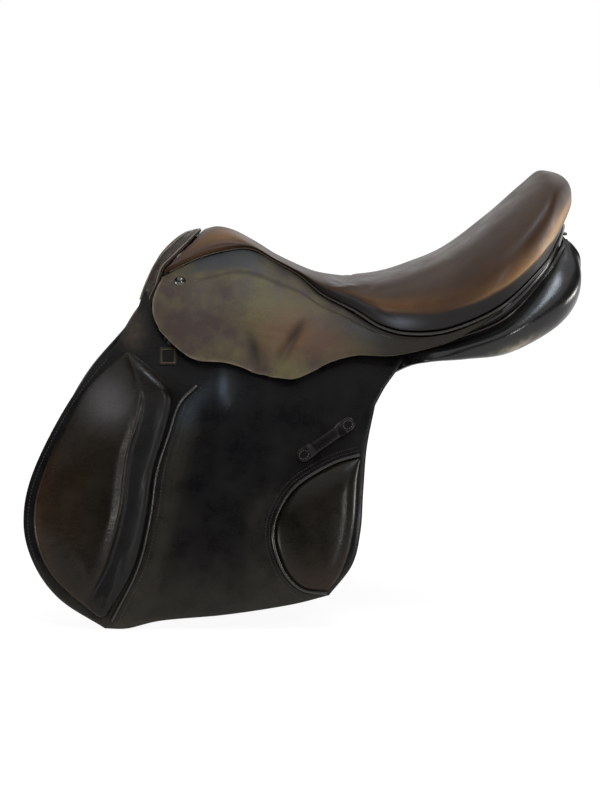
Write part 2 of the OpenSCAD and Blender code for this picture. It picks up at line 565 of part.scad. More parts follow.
// Path moved square to itself, away from its lift
function inset_path(path, lift, d) =
    [for (i = [0 : len(path) - 1])
     let (t = unit(path[min(i + 1, len(path) - 1)] - path[max(i - 1, 0)]), up = is_list(lift[0]) ? lift[i] : lift)
     path[i] - d * cross(t, unit(cross(up, t)))];
module tree_head() color("burlywood") strip(head_line, head_w, head_t, head_lift);
module gullet_plate() color(STEEL) {
    line = inset_path(head_line, head_lift, head_t / 2 + 2 * lay_gap + gullet_plate_t / 2);
    strip([for (i = [2 : 12]) line[i]], gullet_plate_w, gullet_plate_t, [for (i = [2 : 12]) head_lift[i]]);
}

// Middle line of the near rail from the head arch to the cantle
RAIL_PATH = [[-150, -42, 79], [-106, -43, 71], [-55, -50, 56], [0, -57, 46], [45, -66, 48], [100, -82, 60], [149.2, -86, 91.2]];
rail_lift = [0, -0.22, 0.97];
module near_rail() strip([for (t = row(12)) spline(RAIL_PATH, t)], rail_w, rail_t, rail_lift);
module tree_rails() color("burlywood") {
    near_rail();
    far_side() near_rail();
}
module near_spring()
    strip(inset_path([for (t = row(12)) spline(RAIL_PATH, t)], rail_lift, rail_t / 2 + lay_gap + spring_t / 2),
          spring_w, spring_t, rail_lift);
module spring_strips() color(STEEL) {
    near_spring();
    far_side() near_spring();
}

// Wooden crescent under the cantle
CANTLE_PATH = [[152, -86, 95], [176, -76, 122], [196, -50, 144], [205, 0, 155]];
module tree_cantle() color("burlywood")
    strip(near_then_far([for (t = row(8)) spline(CANTLE_PATH, t)]), rail_w * 0.75, rail_t, [-0.55, 0, 0.85]);

// Webbing

module seat_webbing() color("tan")
    for (s = [-1, 1])
        strip([for (t = row(16)) let (c = crest_point(lerp(0.12, 0.88, t))) [c[0], s * (web_w / 2 + 1), c[1] - seat_web_depth]],
              web_w * 0.9, web_t, [0, 0, 1]);

// Bands from the rails that carry the girth straps
module near_webs()
    for (k = [-1 : 1]) {
        x = strap_x + k * strap_pitch;
        rail = spline(RAIL_PATH, lookup(x, [[-150, 0], [-106, 1 / 6], [-55, 2 / 6], [0, 3 / 6]]));
        edge = [x, rail[1] - rail_w / 2 - lay_gap - 1.6, rail[2] - 3];
        foot = [x, strap_head[1] + 0.3, strap_head[2] + 0.6];
        strip([edge, lerp(edge, foot, 0.35) + [0, -3, 1], lerp(edge, foot, 0.7) + [0, -2, 1], foot], strap_w * 0.9, web_t, [0, -1, 0.6]);
    }
module girth_webs() color("tan") {
    near_webs();
    far_side() near_webs();
}

// Girth straps and buckle guards

STRAP_TOP_Z = 6;
strap_x = -60;
strap_depth = 9 + strap_t / 2;
// Chord of the flap's bow that the straps hang along
strap_foot = side_point([strap_x, STRAP_TOP_Z - strap_l * 0.91], strap_depth);
strap_head = side_point([strap_x, STRAP_TOP_Z], strap_depth);
strap_tilt = atan2(strap_head[1] - strap_foot[1], strap_head[2] - strap_foot[2]);
module strap_frame() translate(strap_head) rotate([-strap_tilt, 0, 0]) children();
module near_strap(k) color("#241c18") strap_frame() translate([k * strap_pitch, 0, 0]) difference() {
    union() {
        translate([-strap_w / 2, -strap_t / 2, -strap_l + strap_w / 2]) cube([strap_w, strap_t, strap_l - strap_w]);
        for (z = [-strap_w / 2, -strap_l + strap_w / 2])
            translate([0, -strap_t / 2, z]) rotate([-90, 0, 0]) cylinder(d = strap_w, h = strap_t);
    }
    for (i = [0 : hole_count - 1])
        translate([0, -strap_t / 2 - 1, -strap_l + strap_w + i * hole_pitch]) rotate([-90, 0, 0])
            cylinder(d = hole_d, h = strap_t + 2);
}
module left_front_girth_strap() near_strap(-1);
module left_middle_girth_strap() near_strap(0);
module left_rear_girth_strap() near_strap(1);
module right_front_girth_strap() far_side() near_strap(-1);
module right_middle_girth_strap() far_side() near_strap(0);
module right_rear_girth_strap() far_side() near_strap(1);

guard_top = -10;
guard_edge = 5;
module near_guard() color("#241c18") strap_frame() difference() {
    w = 2 * strap_pitch + strap_w + 2 * guard_edge;
    t = strap_t + 2 * (guard_wall + guard_clearance);
    translate([-w / 2, -t / 2, guard_top - guard_h]) cube([w, t, guard_h]);
    for (k = [-1 : 1])
        translate([k * strap_pitch - strap_w / 2 - guard_clearance, -strap_t / 2 - guard_clearance, guard_top - guard_h - 1])
            cube([strap_w + 2 * guard_clearance, strap_t + 2 * guard_clearance, guard_h + 2]);
}
module left_buckle_guard() near_guard();
module right_buckle_guard() far_side() near_guard();

// Stirrup bars

BAR_AT = [-146, 18];
bar_plate_l = 60;
bar_plate_tail = 20;
bar_rise = 10;
plate_depth = HEAD_DEPTH - (head_t / 2 + lay_gap) / cos(slope_at(BAR_AT[1])) - 0.2;
bar_y = -bar_plate_t - bar_slot - bar_d / 2;
elbow_w = 9;
fork_l = 12;
fork_t = catch_t + 0.6;
// Frame at the foot of the plate's back face: the bar runs along x below it
module bar_frame() at_side(BAR_AT[0], BAR_AT[1], plate_depth) children();
module near_bar() color(STEEL) bar_frame() difference() {
    union() {
        translate([bar_plate_tail - bar_plate_l, -bar_plate_t, bar_rise - bar_plate_h / 2]) cube([bar_plate_l, bar_plate_t, bar_plate_h]);
        translate([-bar_l / 2 - elbow_w / 2, bar_y, 0]) rotate([0, 90, 0]) cylinder(d = bar_d, h = bar_l + elbow_w / 2);
        translate([-bar_l / 2 - elbow_w, bar_y - bar_d / 2, -bar_d / 2]) cube([elbow_w, -bar_y + bar_d / 2, bar_d]);
    }
    translate([bar_l / 2 - fork_l, bar_y - fork_t / 2, -bar_d]) cube([fork_l + 1, fork_t, 2 * bar_d]);
    translate([bar_l / 2 - catch_back, bar_y - bar_d, 0]) rotate([-90, 0, 0])
        cylinder(d = catch_pin_d + 0.04, h = 2 * bar_d);
    for (x = RIVET_X)
        translate([x, -bar_plate_t - 1, bar_rise + 4]) rotate([-90, 0, 0])
            cylinder(d = rivet_head_d / 2, h = bar_plate_t + 2);
}
module left_stirrup_bar() near_bar();
module right_stirrup_bar() far_side() near_bar();

// Catch at the free end of the bar, pinned in its fork
catch_back = 5;
module near_catch() color(STEEL) bar_frame() translate([bar_l / 2 - catch_back, bar_y, 0]) difference() {
    rotate([90, 0, 0]) translate([0, 0, -catch_t / 2]) linear_extrude(catch_t) union() {
        circle(d = bar_d - 1);
        polygon([[0, -bar_d / 2 + 0.5], [catch_l - 4, -bar_d / 2 + 1.2], [catch_l, 1], [catch_l - 2, bar_d / 2],
                 [0, bar_d / 2 - 0.5]]);
    }
    rotate([90, 0, 0]) translate([0, 0, -catch_t]) cylinder(d = catch_pin_d + 2 * pin_clearance, h = 2 * catch_t);
}
module left_bar_catch() near_catch();
module right_bar_catch() far_side() near_catch();
module near_pin() color(STEEL) bar_frame() translate([bar_l / 2 - catch_back, bar_y - bar_d / 2 + 0.3, 0])
    rotate([-90, 0, 0]) cylinder(d = catch_pin_d, h = bar_d - 0.6);
module catch_pins() {
    near_pin();
    far_side() near_pin();
}

// Rivets that hold the bar's plate to the head arch
rivet_step = 14;
rivet_edge = 6;
RIVET_X = [for (k = [0, 1]) bar_plate_tail - bar_plate_l + rivet_edge + k * rivet_step];
rivet_head_t = 2;
module near_rivets() color(STEEL) bar_frame()
    for (x = RIVET_X) translate([x, 0, bar_rise + 4]) rotate([90, 0, 0]) {
        cylinder(d = rivet_head_d / 2 - 0.06, h = bar_plate_t + 0.2);
        translate([0, 0, bar_plate_t + 0.2]) cylinder(d1 = rivet_head_d, d2 = rivet_head_d * 0.6, h = rivet_head_t);
    }
module bar_rivets() {
    near_rivets();
    far_side() near_rivets();
}

// Leather pockets on the panels that hold the tips of the head arch
pocket_wall = 1.8;
pocket_h = 9;
module near_pocket() color(LEATHER_DARK) {
    along = unit(HEAD_PATH[1] - HEAD_PATH[0]);
    tip = HEAD_PATH[0];
    gap = 2 * lay_gap;
    difference() {
        strip([tip - (pocket_wall + lay_gap) * along, tip + pocket_h * along],
              head_w + gap + 2 * pocket_wall, head_t + gap + 2 * pocket_wall, head_lift[0]);
        strip([tip - lay_gap * along, tip + 2 * pocket_h * along], head_w + gap, head_t + gap, head_lift[0]);
    }
}
module point_pockets() {
    near_pocket();
    far_side() near_pocket();
}

// Dee rings on staples at the head arch, under the front of the skirt
DEE_AT = [-186, 60];
dee_depth = 8.5;
staple_t = 2.4;
staple_reach = (HEAD_DEPTH - dee_depth) * cos(slope_at(DEE_AT[1])) - head_t / 2 - 2 * lay_gap;
module dee_frame() at_side(DEE_AT[0], DEE_AT[1], dee_depth) children();
module near_staple() color(STEEL) dee_frame() difference() {
    translate([-6, -dee_wire_d / 2 - staple_t, -dee_wire_d / 2 - staple_t])
        cube([12, dee_wire_d / 2 + staple_t + staple_reach, dee_wire_d + 2 * staple_t]);
    translate([-10, 0, 0]) rotate([0, 90, 0]) cylinder(d = dee_wire_d + 0.16, h = 20);
}
module dee_staples() {
    near_staple();
    far_side() near_staple();
}
module near_dee() color(STEEL) dee_frame() {
    half = dee_w / 2 + dee_wire_d / 2;
    drop = dee_h + dee_wire_d - half;
    translate([-half, 0, 0]) rotate([0, 90, 0]) cylinder(d = dee_wire_d, h = 2 * half);
    for (s = [-1, 1]) translate([s * half, 0, 0]) {
        sphere(d = dee_wire_d);
        translate([0, 0, -max(drop, 2)]) cylinder(d = dee_wire_d, h = max(drop, 2));
    }
    translate([0, 0, -max(drop, 2)]) rotate([90, 0, 0]) rotate([0, 0, 180])
        rotate_extrude(angle = 180) translate([half, 0]) circle(d = dee_wire_d);
}
module left_dee() near_dee();
module right_dee() far_side() near_dee();

tree_head();
tree_rails();
tree_cantle();
gullet_plate();
spring_strips();
seat_webbing();
girth_webs();
seat_foam();
seat_cover();
seat_welt();
pommel_cover();
cantle_strip();
rear_staple();
channel_lining();
left_panel();
right_panel();
panel_piping();
left_sweat_flap();
right_sweat_flap();
point_pockets();
left_skirt_top();
right_skirt_top();
left_skirt();
right_skirt();
skirt_nails();
left_flap_head();
right_flap_head();
left_flap();
right_flap();
left_knee_pad();
right_knee_pad();
left_knee_welt();
right_knee_welt();
left_thigh_pad();
right_thigh_pad();
left_thigh_welt();
right_thigh_welt();
left_keeper();
right_keeper();
left_stirrup_bar();
right_stirrup_bar();
bar_rivets();
left_bar_catch();
right_bar_catch();
catch_pins();
left_front_girth_strap();
left_middle_girth_strap();
left_rear_girth_strap();
right_front_girth_strap();
right_middle_girth_strap();
right_rear_girth_strap();
left_buckle_guard();
right_buckle_guard();
dee_staples();
left_dee();
right_dee();
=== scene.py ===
"""Jumping saddle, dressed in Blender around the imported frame.

Sizes and tables are millimetres in the part's own frame: +X to the cantle, -Y to the near side, +Z up.
Meshes are in metres. The near side is modelled, and the far side is its mirror image.
"""

import json
import logging
import math
from collections.abc import Callable, Sequence
from dataclasses import dataclass, field
from enum import Enum

import bpy
import numpy as np
from mathutils import Matrix, Vector, noise

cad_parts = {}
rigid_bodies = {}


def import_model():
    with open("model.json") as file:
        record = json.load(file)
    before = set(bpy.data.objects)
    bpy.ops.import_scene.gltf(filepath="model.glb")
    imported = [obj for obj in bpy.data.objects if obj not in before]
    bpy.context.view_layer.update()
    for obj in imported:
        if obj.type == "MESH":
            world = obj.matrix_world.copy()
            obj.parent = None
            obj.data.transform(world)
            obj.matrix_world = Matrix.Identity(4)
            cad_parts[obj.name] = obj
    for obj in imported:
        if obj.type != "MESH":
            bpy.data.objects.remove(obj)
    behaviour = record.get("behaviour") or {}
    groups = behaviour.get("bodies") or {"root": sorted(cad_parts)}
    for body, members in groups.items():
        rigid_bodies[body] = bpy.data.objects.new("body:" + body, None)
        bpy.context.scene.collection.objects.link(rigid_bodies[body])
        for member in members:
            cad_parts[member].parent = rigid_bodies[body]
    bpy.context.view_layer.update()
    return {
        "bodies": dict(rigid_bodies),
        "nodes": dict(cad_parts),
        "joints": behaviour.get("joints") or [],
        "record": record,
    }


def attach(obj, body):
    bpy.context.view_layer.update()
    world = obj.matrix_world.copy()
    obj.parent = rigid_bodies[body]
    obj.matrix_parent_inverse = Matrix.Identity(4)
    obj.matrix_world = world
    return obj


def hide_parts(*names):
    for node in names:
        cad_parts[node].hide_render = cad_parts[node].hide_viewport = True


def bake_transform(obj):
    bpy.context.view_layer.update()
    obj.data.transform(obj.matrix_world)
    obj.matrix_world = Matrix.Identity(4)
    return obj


LOG = logging.getLogger("saddle")
MM = 0.001
Array = np.ndarray
Surface = Callable[[Array, Array], Array]
Socket = bpy.types.NodeSocket
Triple = tuple[float, float, float]
Colour = Triple


class Side(Enum):
    """The two sides of the saddle, named as the frame names its bodies."""

    NEAR = "left"
    FAR = "right"

    def place(self, point: Sequence[float]) -> Vector:
        """Gives a near-side point in millimetres as a point of this side in metres."""
        x, y, z = point
        return Vector((x, y if self is Side.NEAR else -y, z)) * MM


# Curves and surfaces


def smooth_step(low: float, high: float, x: Array) -> Array:
    """Rises smoothly from 0 at low to 1 at high."""
    t = np.clip((np.asarray(x, float) - low) / (high - low), 0, 1)
    return t * t * (3 - 2 * t)


def bump(t: Array, power: float) -> Array:
    """Half wave from 0 to 1 and back, raised to a power."""
    return np.maximum(0, np.sin(np.pi * np.asarray(t, float))) ** power


def bell(x: Array, middle: float | Array, width: float) -> Array:
    """Bell curve of height 1 with a given half width."""
    return np.exp(-(((np.asarray(x, float) - middle) / width) ** 2))


def mix(a: Array, b: Array, t: Array) -> Array:
    """Goes in a straight line from a to b."""
    return a + (b - a) * t


def cubic(p0: Array, p1: Array, p2: Array, p3: Array, f: Array) -> Array:
    """Smooth step from p1 to p2 with p0 before and p3 after them."""
    return 0.5 * (
        2 * p1
        + (p2 - p0) * f
        + (2 * p0 - 5 * p1 + 4 * p2 - p3) * f**2
        + (3 * p1 - p0 - 3 * p2 + p3) * f**3
    )


def spline(points: Sequence, t: Array) -> Array:
    """Smooth curve through points.

    Args:
        points: Points of any number of coordinates, or plain numbers.
        t: Places along the curve, from 0 to 1.

    Returns:
        One row a place, or one number a place for plain numbers.
    """
    p = np.asarray(points, float)
    plain = p.ndim == 1
    p = p[:, None] if plain else p
    n = len(p) - 1
    s = np.clip(np.asarray(t, float), 0, 1) * n
    i = np.minimum(s.astype(int), n - 1)
    p1, p2 = p[i], p[i + 1]
    p0 = np.where((i > 0)[:, None], p[np.maximum(i - 1, 0)], 2 * p1 - p2)
    p3 = np.where((i + 2 <= n)[:, None], p[np.minimum(i + 2, n)], 2 * p2 - p1)
    made = cubic(p0, p1, p2, p3, (s - i)[:, None])
    return made[:, 0] if plain else made


def patch(top: Sequence, bottom: Sequence, front: Sequence, rear: Sequence, u: Array, v: Array) -> Array:
    """Surface between four edges that meet at their ends.

    Args:
        top: Upper edge, from front to rear.
        bottom: Lower edge, from front to rear.
        front: Front edge, from top to bottom.
        rear: Rear edge, from top to bottom.
        u: Places from front to rear.
        v: Places from top to bottom.

    Returns:
        One point a place.
    """
    uu, vv = u[:, None], v[:, None]
    a, b = np.asarray(top[0], float), np.asarray(top[-1], float)
    c, d = np.asarray(bottom[0], float), np.asarray(bottom[-1], float)
    rails = (
        (1 - vv) * spline(top, u)
        + vv * spline(bottom, u)
        + (1 - uu) * spline(front, v)
        + uu * spline(rear, v)
    )
    return rails - (1 - uu) * (1 - vv) * a - uu * (1 - vv) * b - (1 - uu) * vv * c - uu * vv * d


def waves(points: Array, size: float, seed: float) -> Array:
    """Soft random swell from about -1 to 1 over points, one wave about size millimetres long."""
    return np.array([noise.noise(Vector(p) / size + Vector((seed, seed, seed))) for p in points])


def evenly(path: Array, pitch: float) -> Array:
    """Points at equal steps along a path.

    Args:
        path: Points of the path.
        pitch: Length of a step.

    Returns:
        Points from the path's start to its end.
    """
    steps = np.linalg.norm(np.diff(path, axis=0), axis=1)
    along = np.concatenate([[0], np.cumsum(steps)])
    count = max(2, int(round(along[-1] / pitch)) + 1)
    at = np.linspace(0, along[-1], count)
    return np.stack([np.interp(at, along, path[:, k]) for k in range(path.shape[1])], axis=1)


def units(rows: Array) -> Array:
    """Each row at length 1."""
    return rows / np.maximum(np.linalg.norm(rows, axis=1, keepdims=True), 1e-9)


def distance(points: Array, line: Array) -> Array:
    """Distance of each point from the nearest place of a line.

    Args:
        points: Points of any number of coordinates.
        line: Points that the line runs through.

    Returns:
        One distance a point.
    """
    a, run = line[:-1], np.diff(line, axis=0)
    away = points[:, None] - a
    along = np.clip((away * run).sum(2) / np.maximum((run**2).sum(1), 1e-9), 0, 1)
    return np.linalg.norm(away - along[:, :, None] * run, axis=2).min(1)


def roundover(depth: Array, width: float) -> Array:
    """Quarter round that rises from 0 at an edge to 1 at a width from it."""
    return np.sqrt(1 - (1 - np.clip(depth / width, 0, 1)) ** 2)


def near_then_far(near: Array) -> Array:
    """A near-side path carried on over the centre plane to the far side."""
    far = near[-2::-1] * np.array([1, -1, 1])
    return np.concatenate([near, far])


def over_to_far(u: Array) -> Array:
    """Sign of each coordinate for u from the near side over the centre plane to the far side."""
    return np.stack([np.ones_like(u), np.where(u > 0.5, -1, 1), np.ones_like(u)], axis=1)


def behind_line(points: Array, line: Sequence, samples: int) -> Array:
    """Distance of places behind a line that runs down the flap.

    Args:
        points: Places as x and height.
        line: Points of the line, from top to bottom.
        samples: Number of steps that the line is followed in.

    Returns:
        One distance a place, below 0 in front of the line.
    """
    run = spline(line, np.linspace(0, 1, samples))
    return points[:, 0] - np.interp(points[:, 1], run[::-1, 1], run[::-1, 0])


@dataclass(frozen=True)
class SideFace:
    """The bowed face that the flaps lie on, on the near side."""

    half_width: float = 110
    splay: float = 0.48
    bow_radius: float = 1000

    def half_at(self, z: Array) -> Array:
        """Half width of the face at a height."""
        return self.half_width - self.splay * z - z**2 / (2 * self.bow_radius)

    def place(self, xz: Array, depth: Array | float = 0.0) -> Array:
        """Points of the face from x and height, a depth in from it."""
        return np.stack([xz[:, 0], -(self.half_at(xz[:, 1]) - depth), xz[:, 1]], axis=1)

    def normal(self, z: Array) -> Array:
        """Outward direction of the face at a height."""
        rise = self.splay + z / self.bow_radius
        return units(np.stack([np.zeros_like(z), -np.ones_like(z), rise], axis=1))


FACE = SideFace()


# Bench tools


def select_only(obj: bpy.types.Object) -> None:
    """Makes one object the selected and the active one."""
    bpy.ops.object.select_all(action="DESELECT")
    obj.select_set(True)
    bpy.context.view_layer.objects.active = obj


def places(obj: bpy.types.Object) -> Array:
    """Vertex places of a mesh object, in its own units."""
    co = np.empty(len(obj.data.vertices) * 3)
    obj.data.vertices.foreach_get("co", co)
    return co.reshape(-1, 3)


def lay(obj: bpy.types.Object, points: Array) -> None:
    """Puts the vertices of a mesh object at points in millimetres."""
    obj.data.vertices.foreach_set("co", (np.asarray(points, float) * MM).ravel())
    obj.data.update()


def add_grid(name: str, columns: int, rows: int) -> bpy.types.Object:
    """Adds a flat grid one unit wide, ready to be laid on a form."""
    bpy.ops.object.select_all(action="DESELECT")
    bpy.ops.mesh.primitive_grid_add(x_subdivisions=columns, y_subdivisions=rows, size=1.0)
    obj = bpy.context.object
    obj.name = obj.data.name = name
    return obj


def grid_places(columns: int, rows: int) -> tuple[Array, Array]:
    """Gives u and v of each vertex of a grid.

    Args:
        columns: Number of faces from front to rear.
        rows: Number of faces from top to bottom.

    Returns:
        Places from 0 to 1 along and down the grid.
    """
    flat = add_grid("places", columns, rows)
    uv = places(flat)[:, :2] + 0.5
    bpy.data.objects.remove(flat)
    return uv[:, 0], uv[:, 1]


def face_out(obj: bpy.types.Object, outward: Sequence[float]) -> None:
    """Turns an open sheet over if most of it faces away from a direction.

    Args:
        obj: The sheet.
        outward: Direction that its face looks in.
    """
    total = sum((p.normal * p.area for p in obj.data.polygons), Vector())
    if total.dot(Vector(outward)) < 0:
        obj.data.flip_normals()


def raise_sheet(
    name: str, columns: int, rows: int, surface: Surface, outward: Sequence[float] = (0, -1, 0.3)
) -> bpy.types.Object:
    """Lays a grid on a surface.

    Args:
        name: Name of the piece.
        columns: Number of faces from front to rear.
        rows: Number of faces from top to bottom.
        surface: Gives points in millimetres for places u and v.
        outward: Direction that the sheet's face looks in.

    Returns:
        The open sheet.
    """
    obj = add_grid(name, columns, rows)
    uv = places(obj)[:, :2] + 0.5
    lay(obj, surface(uv[:, 0], uv[:, 1]))
    face_out(obj, outward)
    return obj


def raise_cushion(name: str, columns: int, rows: int, top: Surface, under: Surface) -> tuple:
    """Extrudes a grid into a closed pad between two surfaces.

    Args:
        name: Name of the piece.
        columns: Number of faces from front to rear.
        rows: Number of faces from top to bottom.
        top: Outer surface of the pad.
        under: Surface that the pad lies on.

    Returns:
        The closed pad, u and v of each vertex, and which vertices are on the outer surface.
    """
    obj = add_grid(name, columns, rows)
    bpy.ops.object.mode_set(mode="EDIT")
    bpy.ops.mesh.select_all(action="SELECT")
    bpy.ops.mesh.extrude_region_move(TRANSFORM_OT_translate={"value": (0, 0, 1)})
    bpy.ops.object.mode_set(mode="OBJECT")
    co = places(obj)
    u, v, upper = co[:, 0] + 0.5, co[:, 1] + 0.5, co[:, 2] > 0.5
    lay(obj, np.where(upper[:, None], top(u, v), under(u, v)))
    mend_normals(obj)
    return obj, u, v, upper


def mend_normals(obj: bpy.types.Object, weld: float = 0.0) -> None:
    """Welds vertices closer than a distance in millimetres and points the faces outwards.

    Args:
        obj: The closed piece.
        weld: Distance below which vertices become one, or 0.
    """
    select_only(obj)
    bpy.ops.object.mode_set(mode="EDIT")
    bpy.ops.mesh.select_all(action="SELECT")
    if weld > 0:
        bpy.ops.mesh.remove_doubles(threshold=weld * MM)
    bpy.ops.mesh.normals_make_consistent(inside=False)
    bpy.ops.object.mode_set(mode="OBJECT")


def drop_faces(obj: bpy.types.Object, within: Array) -> None:
    """Deletes the faces whose corners are all among some vertices.

    Args:
        obj: The piece.
        within: Which vertices those are.
    """
    select_only(obj)
    bpy.ops.object.mode_set(mode="EDIT")
    bpy.ops.mesh.select_mode(type="FACE")
    bpy.ops.mesh.select_all(action="DESELECT")
    bpy.ops.object.mode_set(mode="OBJECT")
    for face in obj.data.polygons:
        face.select = bool(within[list(face.vertices)].all())
    bpy.ops.object.mode_set(mode="EDIT")
    bpy.ops.mesh.delete(type="FACE")
    bpy.ops.mesh.select_mode(type="VERT")
    bpy.ops.object.mode_set(mode="OBJECT")


def apply_modifier(obj: bpy.types.Object, kind: str, **settings: float | int | bool | str) -> None:
    """Adds a modifier with its settings and applies it.

    Args:
        obj: The piece.
        kind: Blender's name for the modifier.
        settings: Its settings by name.
    """
    select_only(obj)
    modifier = obj.modifiers.new(kind.title(), kind)
    for key, value in settings.items():
        setattr(modifier, key, value)
    bpy.ops.object.modifier_apply(modifier=modifier.name)


def round_edges(obj: bpy.types.Object, width: float, angle: float) -> None:
    """Rounds the edges that are sharper than an angle in degrees.

    Args:
        obj: The piece.
        width: Roundness of the edges, in millimetres.
        angle: Least angle of an edge that is rounded.
    """
    limit = math.radians(angle)
    apply_modifier(obj, "BEVEL", width=width * MM, segments=2, limit_method="ANGLE", angle_limit=limit)


def thicken(obj: bpy.types.Object, thickness: float, edge_round: float) -> None:
    """Gives an open sheet its thickness inwards, with rounded cut edges in the second material.

    Args:
        obj: The sheet.
        thickness: Its thickness in millimetres.
        edge_round: Roundness of its edges.
    """
    apply_modifier(
        obj, "SOLIDIFY", thickness=thickness * MM, offset=-1.0, use_even_offset=False, material_offset_rim=1
    )
    round_edges(obj, edge_round, 55)


def soften(obj: bpy.types.Object, angle: float = 50.0) -> None:
    """Shades a piece smooth, apart from edges sharper than an angle in degrees."""
    select_only(obj)
    bpy.ops.object.shade_smooth_by_angle(angle=math.radians(angle))


def subdivide(obj: bpy.types.Object, levels: int = 1) -> None:
    """Rounds a mesh by subdivision."""
    apply_modifier(obj, "SUBSURF", levels=levels, render_levels=levels)


def paint(obj: bpy.types.Object, name: str, values: Array) -> None:
    """Writes one number a vertex, which the finishes read by name."""
    layer = obj.data.attributes.get(name) or obj.data.attributes.new(name, "FLOAT", "POINT")
    layer.data.foreach_set("value", np.asarray(values, np.float32))


def painted(obj: bpy.types.Object, name: str) -> Array:
    """Reads back the numbers painted on a piece under a name."""
    values = np.empty(len(obj.data.vertices), np.float32)
    obj.data.attributes[name].data.foreach_get("value", values)
    return values


def raise_tube(
    name: str, path: Array, diameter: float, sides: int = 3, share: Array | None = None
) -> bpy.types.Object:
    """Makes a round piping along a path in millimetres.

    Args:
        name: Name of the piece.
        path: Points of the middle line.
        diameter: Thickness of the piping.
        sides: Roundness of the piping, as a curve's bevel resolution.
        share: Share of the thickness at each point, all of it if left out.

    Returns:
        The piping as a mesh.
    """
    bpy.ops.object.select_all(action="DESELECT")
    bpy.ops.curve.primitive_nurbs_path_add()
    obj = bpy.context.object
    obj.name = obj.data.name = name
    curve = obj.data
    curve.splines.clear()
    line = curve.splines.new("POLY")
    line.points.add(len(path) - 1)
    for point, place, width in zip(line.points, path * MM, np.ones(len(path)) if share is None else share):
        point.co = (*place, 1.0)
        point.radius = width
    curve.bevel_depth = diameter / 2 * MM
    curve.bevel_resolution = sides
    curve.use_fill_caps = True
    curve.twist_mode = "MINIMUM"
    select_only(obj)
    bpy.ops.object.convert(target="MESH")
    mend_normals(obj, 0.01)
    soften(obj, 60)
    return bpy.context.object


@dataclass(frozen=True)
class Stitch:
    """Size of one sewn stitch and the step between stitches."""

    pitch: float = 3.6
    length: float = 2.7
    width: float = 0.9
    height: float = 0.8
    slant: float = 8.0

    def sew(self, name: str, path: Array, normals: Array) -> bpy.types.Object:
        """Lays stitches along a path, half sunk in the leather.

        Args:
            name: Name of the row of stitches.
            path: Middles of the stitches, in millimetres.
            normals: Outward direction at each of them.

        Returns:
            The row as one mesh.
        """
        bpy.ops.object.select_all(action="DESELECT")
        bpy.ops.mesh.primitive_uv_sphere_add(segments=6, ring_count=4, radius=0.5)
        obj = bpy.context.object
        obj.name = obj.data.name = name
        shape = places(obj)[:, [2, 0, 1]] * [self.length, self.width, self.height]
        faces = [tuple(p.vertices) for p in obj.data.polygons]
        run = units(np.gradient(path, axis=0))
        across = units(np.cross(normals, run))
        up = units(np.cross(run, across))
        turn = math.radians(self.slant)
        lean = units(math.cos(turn) * run + math.sin(turn) * across)
        side = units(np.cross(up, lean))
        rows = [p + shape @ np.stack([a, b, c]) for p, a, b, c in zip(path, lean, side, up)]
        step = len(shape)
        every = [tuple(i + k * step for i in f) for k in range(len(path)) for f in faces]
        obj.data.clear_geometry()
        obj.data.from_pydata((np.concatenate(rows) * MM).tolist(), [], every)
        mend_normals(obj)
        soften(obj, 80)
        return obj


STITCH = Stitch()
FINE_STITCH = Stitch(pitch=2.8, length=2.1, width=0.7, height=0.6)


def mirror_piece(obj: bpy.types.Object, name: str) -> bpy.types.Object:
    """Copies a near-side piece to the far side, with its own mesh.

    Args:
        obj: The near-side piece.
        name: Name of the copy.

    Returns:
        The far-side piece.
    """
    mesh = obj.data.copy()
    mesh.name = name
    mesh.transform(Matrix.Scale(-1, 4, (0, 1, 0)))
    mesh.flip_normals()
    far = bpy.data.objects.new(name, mesh)
    bpy.context.scene.collection.objects.link(far)
    return far


SIMULATION_FRAMES = 20
PAD_PRESSURE = 4.0


def inflate(obj: bpy.types.Object, free: Array, cap: float) -> None:
    """Blows a closed pad up as cloth under pressure, with its seams held.

    Args:
        obj: The closed pad.
        free: Which vertices may move.
        cap: Furthest that a point may move, in millimetres.
    """
    select_only(obj)
    before = places(obj)
    held = obj.vertex_groups.new(name="held")
    held.add([int(i) for i in np.flatnonzero(~free)], 1.0, "REPLACE")
    modifier = obj.modifiers.new("Cloth", "CLOTH")
    cloth = modifier.settings
    cloth.vertex_group_mass = held.name
    cloth.quality = 5
    cloth.mass = 0.3
    cloth.tension_stiffness = cloth.compression_stiffness = 25
    cloth.shear_stiffness = 12
    cloth.bending_stiffness = 4
    cloth.use_pressure = True
    cloth.uniform_pressure_force = PAD_PRESSURE
    cloth.effector_weights.gravity = 0
    modifier.collision_settings.use_collision = False
    modifier.point_cache.frame_start = 1
    modifier.point_cache.frame_end = SIMULATION_FRAMES
    scene = bpy.context.scene
    for frame in range(1, SIMULATION_FRAMES + 1):
        scene.frame_set(frame)
    bpy.ops.object.modifier_apply(modifier=modifier.name)
    moved = places(obj) - before
    reach = np.linalg.norm(moved, axis=1, keepdims=True) / MM
    share = np.minimum(1, cap / np.maximum(reach, 1e-6))
    lay(obj, (before + moved * share) / MM)
    obj.vertex_groups.clear()
    scene.frame_set(1)
    LOG.info("%s blown up, largest move %.1f mm", obj.name, float(reach.max()))


# Finishes


